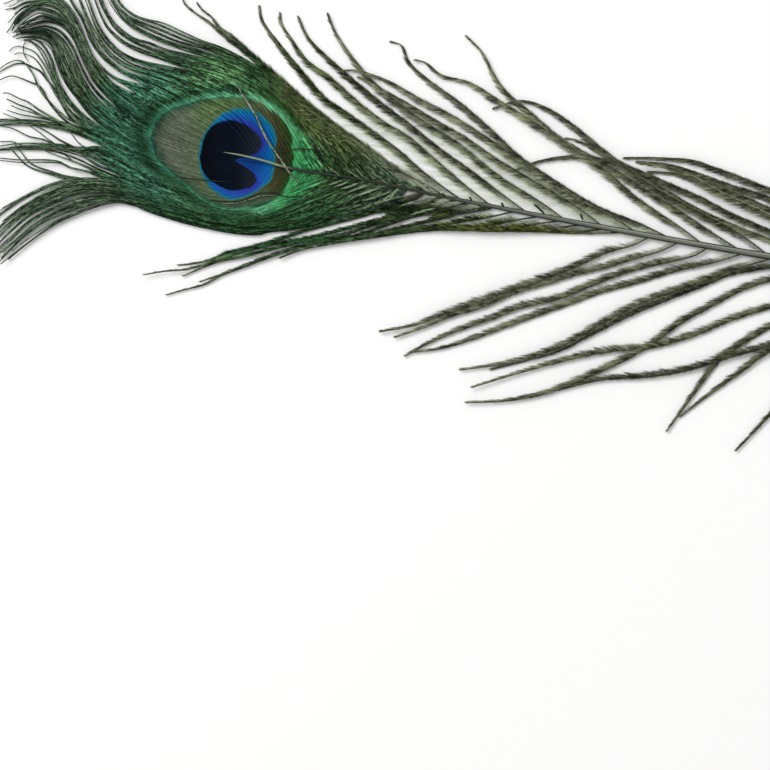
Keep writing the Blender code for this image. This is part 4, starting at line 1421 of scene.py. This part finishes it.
@dataclass(frozen=True)
class BarbFinish:
    """Finish of barbs and barbules."""

    name: str
    dark: tuple
    web: tuple
    fringe: tuple
    glint: tuple = srgb(104, 112, 70)
    bundle: tuple = srgb(92, 103, 46)
    bundle_dark: tuple = srgb(12, 20, 4)
    # Painted shade in the thick of the crest.
    crest_dark: tuple = srgb(24, 42, 30)
    thicket: tuple = srgb(44, 68, 34)
    thicket_dark: tuple = srgb(10, 30, 12)
    olive: tuple = srgb(74, 76, 50)
    olive_share: float = 0.45
    pale: tuple = srgb(212, 220, 198)
    pale_share: float = 1.0
    down: tuple = srgb(230, 241, 208)
    contrast: float = 1.0
    ramus_width: float = 0.25
    ramus_share: float = 0.8
    # How dark the painted gap shade at barb edges is.
    gap_shade_share: float = 0.75
    darkest: float = 0.2
    smoothest: float = 0.43
    roughest: float = 0.7
    gloss: float = 0.04

    def material(self, eye: bpy.types.NodeTree, streaks: bpy.types.NodeTree) -> bpy.types.Material:
        """Build the material.

        Args:
            eye: the group that paints the eye.
            streaks: the group that draws rami and barbules.

        Returns:
            The finished material.
        """
        material, graph, shader = start_material(self.name)
        drawn = graph.node("ShaderNodeGroup", node_tree=streaks)
        drawn.inputs["Ramus Width"].default_value = self.ramus_width
        strokes = drawn.outputs
        zones = graph.node("ShaderNodeGroup", node_tree=eye)
        graph.feed(zones.inputs["Stagger"], graph.math("SUBTRACT", graph.mark("barb"), 0.5))
        tone, relief = strokes["Tone"], zones.outputs["Relief"]
        colour = graph.coats(
            zones.outputs["Color"],
            (self.web_colour(graph, strokes), (zones.outputs["Reach"], 1.8, 2.6)))
        light = graph.zone((tone, 0.41, 0.6, 0.3, 1.95), (strokes["Own"], 0, 1, 0.62, 1.4))
        light = graph.math("MULTIPLY_ADD", graph.math("SUBTRACT", light, 1.0),
                           graph.math("MULTIPLY", relief, self.contrast), 1.0)
        light = graph.either(light, self.darkest)
        colour = graph.mix(1.0, colour, graph.join(light, light, light), "MULTIPLY")
        # Dark lines: the rami in their own colour, and painted shade in the gaps at barb edges.
        lines = graph.either(graph.both(strokes["Ramus"], self.ramus_share),
                             graph.both(strokes["Edge"], self.gap_shade_share))
        lines = graph.both(lines, graph.spread(relief, 0.15, 1.0, 0.1, 1.0))
        colour = graph.mix(lines, colour, self.dark)
        colour = graph.mix(self.pale_mask(graph, tone), colour, self.pale)
        colour = graph.coats(colour, (self.down, (graph.mark("fuzz"), 1, 2)))
        dress(graph, shader, colour, (tone, self.smoothest, self.roughest), self.gloss,
              strokes["Height"])
        return material

    def web_colour(self, graph: Graph, strokes: dict) -> bpy.types.NodeSocket:
        """Mix the colours away from the eye: paler at barbules' tips, green in the low bundle, with
        painted glints and painted shade in the thick of the crest.

        Args:
            graph: the material's graph.
            strokes: the outputs of the streak group.

        Returns:
            The colour.
        """
        tone, level = strokes["Tone"], graph.off_ramus()
        here = graph.here()
        x, y, _ = graph.split(here)
        # Way from the middle of the painted crest shade.
        core = graph.away(here, CREST_SHADE_MIDDLE, 1.0, 1.6)
        bundle, thicket = (
            graph.coats(dark, (light, (tone, 0.42, 0.58)))
            for dark, light in ((self.bundle_dark, self.bundle), (self.thicket_dark, self.thicket)))
        return graph.coats(
            self.dark,
            (self.web, (tone, 0.36, 0.62, 0.2, 1.0)),
            (self.fringe, (graph.mark("fuzz"), 0, 1), (level, 0.1, 0.9, 0.15, 0.8)),
            (self.glint, (strokes["Broad"], 0.54, 0.7, 0, 0.3)),
            (self.olive, (x, 60, 130, 0, self.olive_share)),
            # Painted shade in the thick of the crest, round its middle.
            (self.crest_dark, (graph.dot(core, core), 110, 20, 0, 0.75)),
            (graph.coats(bundle, (thicket, (x, 64, 46))), (y, -26, -23), (x, 112, 96),
             (graph.above_shaft(x, y), -1, -4, 0, 0.93 * self.pale_share)),
        )

    def pale_mask(self, graph: Graph, tone: bpy.types.NodeSocket) -> bpy.types.NodeSocket:
        """Say where the fringe is pale: by the shaft, and further out at barbules' tips.

        Args:
            graph: the material's graph.
            tone: the barbules' light-and-dark value.

        Returns:
            The share of pale colour.
        """
        x, y, _ = graph.split(graph.here())
        above, along = graph.above_shaft(x, y), graph.mark("along")
        clear = graph.either(graph.spread(above, -2, 0), graph.spread(x, 90, 110),
                             graph.zone((above, -3.6, -2.2), (x, 47, 55)))
        pale = graph.either(graph.zone((graph.off_ramus(), 0.6, 0.95, 0, 0.8), (along, 54, 34)),
                            graph.spread(along, 12, 4, 0, 0.65))
        return graph.both(pale, clear, graph.zone(
            (tone, 0.4, 0.6, 0.75 * self.pale_share, self.pale_share), (graph.mark("fuzz"), 0, 1)))


@dataclass
class ClosedVane:
    """Barbs that lie edge to edge in the eye, then run on as crest strands."""

    name: str
    finish: bpy.types.Material
    plain_radius: float = 19.5
    overlap: float = 0.62
    narrowest: float = 0.16
    widest: float = 1.1
    strand: float = 0.21
    crest_strand: float = 0.18
    strand_spread: float = 0.14
    barbule: float = 0.85
    barbule_more: float = 0.1
    crest_barbule_more: float = -0.2
    spacing: float = 0.46

    def half_widths(self, barbs: Barbs) -> list[np.ndarray]:
        """Fill the gap to each neighbour inside the vane, and narrow to a strand outside.

        Args:
            barbs: the barbs.

        Returns:
            The widths on the distal and on the proximal side.
        """
        share = np.linspace(0, 1, barbs.place.shape[1])
        closed = 1 - smoothstep(barbs.reach, 0.85, 1.25)
        slim = np.where(barbs.crest(), self.crest_strand, self.strand)
        slim = slim + self.strand_spread * barbs.chance
        strand = slim[:, None] * taper(share, 0.8, 0.45)
        return [
            np.clip(gap * self.overlap, self.narrowest, self.widest) * closed
            + strand * (1 - closed)
            for gap in (barbs.gap_distal, barbs.gap_proximal)]

    def build(self, barbs: Barbs, seed: int) -> bpy.types.Object:
        """Build the piece from its barbs.

        Args:
            barbs: the barbs.
            seed: the seed of the barbules' small differences.

        Returns:
            The piece.
        """
        plumage = Plumage()
        Ribbons().add_to(plumage, barbs, *self.half_widths(barbs))
        more = np.where(barbs.crest(), self.crest_barbule_more, self.barbule_more)

        def length(spots: Spots) -> np.ndarray:
            """Short, another length along the strands, and less at their tips."""
            free = smoothstep(spots.reach, 0.9, 1.3)
            return (self.barbule + more[spots.barb] * free) * taper(spots.share, 0.7, 0.4)

        def density(spots: Spots) -> np.ndarray:
            """None where the eye is plain."""
            away = spots.place[:, :2] - np.array(BRONZE_CENTRE)
            return (np.hypot(*away.T) > self.plain_radius).astype(float)

        for number, distal in enumerate((True, False)):
            row = Barbules(distal, self.spacing, length, density, 27, rise_spread=0.08)
            row.add_to(plumage, barbs, seed + number)
        return plumage.build(self.name, self.finish)


@dataclass
class LooseBarbs:
    """Long barbs that hang free of each other, each with its fringe."""

    name: str
    finish: bpy.types.Material
    half_width: float = 0.24
    root_web: float = 0.65
    fringe_length: float = 3.6
    near_share: float = 0.34
    rim_near: float = 2.4
    down_length: float = 2.1
    bare_root: float = 5.0
    bare_low: float = 6.0
    narrow_low: float = 0.7
    narrow_dense: float = 0.42
    narrow_rim: float = 0.62
    dense_more: float = 0.4
    dense_to: float = 70.0
    low_to: float = 110.0
    rim_to: float = 58.0
    down_to: float = 120.0

    def build(self, barbs: Barbs, seed: int) -> bpy.types.Object:
        """Build the piece from its barbs.

        Args:
            barbs: the barbs.
            seed: the seed of the barbules' small differences.

        Returns:
            The piece.
        """
        plumage = Plumage()
        upper = barbs.side > 0
        dense = ~upper & (barbs.root <= self.dense_to)
        low = ~upper & (barbs.root > self.dense_to) & (barbs.root < self.low_to)
        rim = upper & (barbs.root < self.rim_to)
        share = np.linspace(0, 1, barbs.place.shape[1])
        web = self.root_web * dense[:, None] * (1 - smoothstep(barbs.length(), 3, 13))
        half = self.half_width * (1 - 0.35 * share) + web
        Ribbons(0.17, 0.17, 0.0, 0.0).add_to(plumage, barbs, half, half)
        narrow = np.select(
            [dense, low, rim], [self.narrow_dense, self.narrow_low, self.narrow_rim], 1.0)

        def far(spots: Spots) -> np.ndarray:
            """The long fringe: longest past the root, short at the tip."""
            slim = 1 + (narrow[spots.barb] - 1) * smoothstep(spots.along, 10, 17)
            grown = 0.7 + 0.3 * smoothstep(spots.along, 2, 14)
            grown = grown + self.dense_more * dense[spots.barb]
            return self.fringe_length * slim * grown * taper(spots.share, 0.7, 0.45)

        def near(spots: Spots) -> np.ndarray:
            """The short fringe on the other side."""
            more = np.where(rim[spots.barb], self.rim_near, 1.0)
            return self.near_share * far(spots) * more

        def down(spots: Spots) -> np.ndarray:
            """Long pale threads between the upper barbs, for a good way from the shaft."""
            near_shaft = smoothstep(spots.along, 0, 6) * (1 - smoothstep(spots.along, 30, 60))
            downy = upper & (barbs.root < self.down_to)
            return self.fringe_length * self.down_length * near_shaft * downy[spots.barb]

        def density(spots: Spots) -> np.ndarray:
            """Thin close to the shaft, and almost none on a bare length."""
            away = spots.along - np.where(low[spots.barb], self.bare_low, 0.0)
            thin = 0.55 + 0.45 * smoothstep(spots.along, self.bare_root, 3 * self.bare_root)
            thin = np.where(dense[spots.barb], 1.0, thin)
            return thin * (0.03 + 0.97 * smoothstep(away, -1.5, 1.5))

        rows = (
            Barbules(True, 0.08, far, density, 34, rise_spread=0.12, length_spread=0.06,
                     clump=1.5, bent=True),
            Barbules(False, 0.12, near, density, 28, length_spread=0.08, clump=1.5),
            Barbules(True, 0.3, down, lambda spots: np.ones(len(spots.along)), 34, 0.1,
                     clump=1.5, rise_spread=0.03, lift=-0.1, pale=1.0),
        )
        for number, row in enumerate(rows):
            row.add_to(plumage, barbs, seed + number)
        return plumage.build(self.name, self.finish)


@dataclass
class StrayBarbs:
    """Barbs, broken barbs and bare bases that lie across the others."""

    name: str
    finish: bpy.types.Material
    arch: float = 0.5
    narrowing: float = 0.7

    def build(self, strays: tuple, stations: int) -> bpy.types.Object:
        """Build the piece.

        Args:
            strays: half width, height and places passed of each.
            stations: how many rings each has.

        Returns:
            The piece.
        """
        count = len(strays)
        plan = np.array([evenly(smooth_path(points, 8), stations) for _, _, points in strays])
        half, height = (np.array([row[column] for row in strays])[:, None] for column in (0, 1))
        from_middle = np.abs(2 * np.linspace(0, 1, stations) - 1)
        free = np.full((count, stations), 9.0)
        barbs = Barbs(
            place=at_height(plan, height - self.arch * from_middle ** 3),
            distal=at_height(left_of(plan), 0.0),
            gap_distal=free, gap_proximal=free, reach=free, root=plan[:, 0, 0],
            side=np.ones(count), loose=np.ones(count, bool),
            chance=(np.arange(count) * 0.618) % 1)
        width = half * (1 - self.narrowing * from_middle ** 4)
        plumage = Plumage()
        Ribbons(0.2, 0.2, 0.0, 0.0).add_to(plumage, barbs, width, width)
        return plumage.build(self.name, self.finish)


@dataclass(frozen=True)
class RamusFinish:
    """Finish of a bare ramus: horn with darker edges and a mottled length."""

    name: str
    core: tuple
    edge: tuple
    smoothest: float = 0.5
    roughest: float = 0.75
    gloss: float = 0.12

    def material(self, streaks: bpy.types.NodeTree) -> bpy.types.Material:
        """Build the material.

        Args:
            streaks: the group that draws rami and barbules.

        Returns:
            The finished material.
        """
        material, graph, shader = start_material(self.name)
        strokes = graph.node("ShaderNodeGroup", node_tree=streaks).outputs
        tone = strokes["Tone"]
        mottled = graph.math("ADD", graph.off_ramus(), graph.spread(tone, 0.42, 0.57, 0.8, -0.6))
        colour = graph.coats(self.core, (self.edge, (mottled, 0.3, 0.75)))
        dress(graph, shader, colour, (tone, self.smoothest, self.roughest), self.gloss,
              strokes["Height"])
        return material


@dataclass(frozen=True)
class QuillFinish:
    """Finish of the shaft: grey horn with painted shade at its sides and on the side facing away from
    the lamp, a painted highlight along its upper side, and painted groove shade along its middle.
    """

    # Dark horn: painted shade at the shaft's sides, and also its grain mottle.
    side: tuple = srgb(40, 44, 38)
    # Painted shade for the side facing away from the lamp.
    under: tuple = srgb(36, 41, 29)
    lit: tuple = srgb(190, 194, 182)
    horn: tuple = srgb(112, 115, 103)
    # Painted shade of a groove along the shaft's top.
    painted_groove_shade: tuple = srgb(92, 96, 86)
    quill: tuple = srgb(176, 166, 144)
    in_fringe: tuple = srgb(68, 74, 60)
    in_vane: tuple = srgb(30, 42, 24)
    in_eye: tuple = srgb(124, 142, 116)
    smoothest: float = 0.34
    roughest: float = 0.57
    gloss: float = 0.25

    def material(self) -> bpy.types.Material:
        """Build the material.

        Returns:
            The finished material.
        """
        material, graph, shader = start_material("quill_horn")
        here = graph.here()
        x, _, _ = graph.split(here)
        grain = graph.noise(graph.vector("MULTIPLY", here, (0.12, 2.5, 2.5)), 3.0)
        # The normal places the painted light: shade on the sides and on the side away from the lamp,
        # groove shade on top, a highlight towards the lamp.
        _, back, up = graph.split(graph.node("ShaderNodeTexCoord").outputs["Normal"])
        horn = graph.coats(self.horn, (self.quill, (x, 160, 225)))
        colour = graph.coats(
            # Painted shade: the dark horn shows on the sides, where the normal turns from up.
            self.side,
            (horn, (up, 0.6, 0.92)),
            # Painted groove shade along the top, where the normal points straight up.
            (self.painted_groove_shade, (up, 0.97, 0.995, 0, 0.6)),
            (self.in_fringe, (x, 110, 60, 0, 0.75)),
            (self.in_vane, (x, 66, 50, 0, 0.95)),
            (self.in_eye, (x, 15, 10)),
            (self.lit, (back, 0.1, 0.3), (back, 0.75, 0.55), (x, 60, 110, 0, 0.3)),
            # Painted shade on the side facing away from the lamp, weaker towards the quill.
            (self.under, (back, -0.3, -0.75, 0, 0.85), (x, 200, 150, 0.4, 1)),
            # The same dark horn, laid by the grain noise, is the shaft's own mottle.
            (self.side, (grain, 0.4, 0.75, 0.0, 0.4)),
        )
        dress(graph, shader, colour, (grain, self.smoothest, self.roughest), self.gloss, grain,
              0.25, 0.0002)
        return material


@dataclass
class Quill:
    """The shaft, from its fine end in the eye to the cut quill."""

    shaft: ShaftLine
    stations: int = 44
    corners: int = 16
    end_from: float = 35.0

    def build(self, finish: bpy.types.Material) -> bpy.types.Object:
        """Extrude a circle from the cut end, ring by ring, to the fine end.

        Args:
            finish: the shaft's material.

        Returns:
            The piece.
        """
        bpy.ops.object.select_all(action="DESELECT")
        stops = np.linspace(self.shaft.curve[-1, 0], self.end_from, self.stations)
        rows = np.vstack([self.shaft.at(stops), smooth_path(SHAFT_END, 3)])
        bpy.ops.mesh.primitive_circle_add(
            vertices=self.corners, radius=rows[0, 3] * MM, fill_type="NGON",
            location=tuple(rows[0, :3] * MM), rotation=(0, -math.pi / 2, 0))
        piece = bpy.context.object
        piece.name = piece.data.name = "shaft"
        bpy.ops.object.transform_apply(location=True, rotation=True, scale=True)
        bpy.ops.object.mode_set(mode="EDIT")
        bpy.ops.mesh.select_all(action="SELECT")
        for row, after in zip(rows, rows[1:]):
            bpy.ops.mesh.extrude_region_move(
                TRANSFORM_OT_translate={"value": tuple((after - row)[:3] * MM)})
            size = after[3] / row[3]
            bpy.ops.transform.resize(value=(size,) * 3, center_override=tuple(after[:3] * MM))
        bpy.ops.mesh.select_all(action="SELECT")
        bpy.ops.mesh.normals_make_consistent(inside=False)
        bpy.ops.object.mode_set(mode="OBJECT")
        bpy.ops.object.shade_smooth_by_angle(angle=math.radians(50))
        piece.data.materials.append(finish)
        LOG.info("shaft: %d faces", len(piece.data.polygons))
        return piece


@dataclass
class Studio:
    """Floor, light and camera."""

    camera_height_m: float = 1.6
    floor_size_m: float = 6.0
    floor_colour: tuple = (0.9, 0.9, 0.895, 1)
    lamp_place_m: tuple = (-0.5, 0.45, 1.3)
    lamp_size_m: float = 0.7
    lamp_watts: float = 14
    lamp_tilt: tuple = (-18, -22, 0)
    sky: float = 0.62
    sight_m: float = 20.0

    def floor(self) -> bpy.types.Object:
        """Lay the pale floor.

        Returns:
            The floor.
        """
        bpy.ops.object.select_all(action="DESELECT")
        bpy.ops.mesh.primitive_plane_add(size=self.floor_size_m)
        floor = bpy.context.object
        floor.name = "floor"
        material, _, shader = start_material("pale_floor")
        shader.inputs["Base Color"].default_value = self.floor_colour
        shader.inputs["Roughness"].default_value = 0.8
        shader.inputs["Specular IOR Level"].default_value = 0.1
        floor.data.materials.append(material)
        return floor

    def lights(self) -> None:
        """Hang a soft lamp and set the even surroundings."""
        world = bpy.data.worlds.new("studio")
        world.use_nodes = True
        world.node_tree.nodes["Background"].inputs["Color"].default_value = (1, 1, 1, 1)
        world.node_tree.nodes["Background"].inputs["Strength"].default_value = self.sky
        bpy.context.scene.world = world
        bpy.ops.object.light_add(type="AREA", location=self.lamp_place_m)
        lamp = bpy.context.object
        lamp.name = "soft_lamp"
        lamp.data.size = self.lamp_size_m
        lamp.data.energy = self.lamp_watts
        lamp.rotation_euler = tuple(math.radians(turn) for turn in self.lamp_tilt)

    def camera(self) -> None:
        """Look straight down, with the photograph's framing."""
        middle = PHOTO_PIXELS / 2
        x = (middle - EYE_PIXEL[0]) * MM_PER_PIXEL * MM
        y = (EYE_PIXEL[1] - middle) * MM_PER_PIXEL * MM
        bpy.ops.object.camera_add(location=(x, y, self.camera_height_m), rotation=(0, 0, 0))
        camera = bpy.context.object
        width = PHOTO_PIXELS * MM_PER_PIXEL * MM
        camera.data.lens = camera.data.sensor_width * self.camera_height_m / width
        camera.data.clip_end = self.sight_m
        bpy.context.scene.camera = camera


@dataclass
class Feather:
    """The whole feather: both sides of the fan, what lies across them, and the shaft."""

    shaft: ShaftLine = field(default_factory=ShaftLine)
    outer_from: float = 120.0
    bare_height: float = 2.7

    def fan_pieces(self) -> list[tuple[bpy.types.Object, str]]:
        """Build the vane and the loose barbs of each side.

        Returns:
            Each piece with its slot.
        """
        eye, streaks = eye_group(EyeColours()), streak_group()
        vane_finish = BarbFinish(
            "barb_vane", dark=srgb(36, 50, 36), web=srgb(92, 112, 90), fringe=srgb(126, 144, 122),
            pale_share=0.0).material(eye, streaks)
        loose_finish = BarbFinish(
            "barb_loose", dark=srgb(38, 41, 30), web=srgb(117, 121, 97),
            fringe=srgb(146, 151, 128), contrast=0.6, ramus_width=3.0,
            ramus_share=1.0).material(eye, streaks)
        every = Fan(self.shaft, Rim()).barbs()
        outer = every.root > self.outer_from
        pieces = []
        for side in Side:
            label = side.name.lower()
            mine = every.side == side.value
            vane = ClosedVane(f"{label}_vane", vane_finish)
            pieces.append((vane.build(every.pick(mine & ~every.loose), 100 + side.value), "eye"))
            for part, mask in (("inner", ~outer), ("outer", outer)):
                loose = LooseBarbs(f"{label}_barbs_{part}", loose_finish)
                chosen = every.pick(mine & every.loose & mask)
                pieces.append((loose.build(chosen, 200 + side.value), "barbs"))
        return pieces

    def stray_pieces(self) -> list[tuple[bpy.types.Object, str]]:
        """Build what lies across the fan.

        Returns:
            Each piece with its slot.
        """
        streaks = bpy.data.node_groups["barb_streaks"]
        bases = tuple((half, self.bare_height, ends) for half, *ends in BARE_BASES)
        return [
            (StrayBarbs(name, finish.material(streaks)).build(strays, stations), "barbs")
            for name, finish, strays, stations in (
                ("stray_barbs_pale",
                 RamusFinish("ramus_pale", srgb(142, 154, 132), srgb(44, 54, 38)),
                 PALE_STRAYS, 40),
                ("stray_barbs_dark",
                 RamusFinish("ramus_dark", srgb(48, 56, 38), srgb(24, 32, 20)),
                 DARK_STRAYS, 24),
                ("bare_bases",
                 RamusFinish("ramus_bare", srgb(132, 150, 124), srgb(62, 80, 58)), bases, 8))]

    def build(self) -> None:
        """Build every piece, and let it stand for the feather's solid."""
        pieces = self.fan_pieces() + self.stray_pieces()
        pieces.append((Quill(self.shaft).build(QuillFinish().material()), "quill"))
        for piece, slot in pieces:
            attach(piece, "root")
            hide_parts(NODE)


def main() -> None:
    """Build every piece of the feather, lay the floor, light it and set the camera."""
    logging.basicConfig(level=logging.INFO, format="%(name)s %(message)s")
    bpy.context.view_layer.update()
    bpy.context.scene.view_settings.view_transform = "Standard"
    Feather().build()
    studio = Studio()
    studio.floor()
    studio.lights()
    studio.camera()


if __name__ == "__main__":
    main()
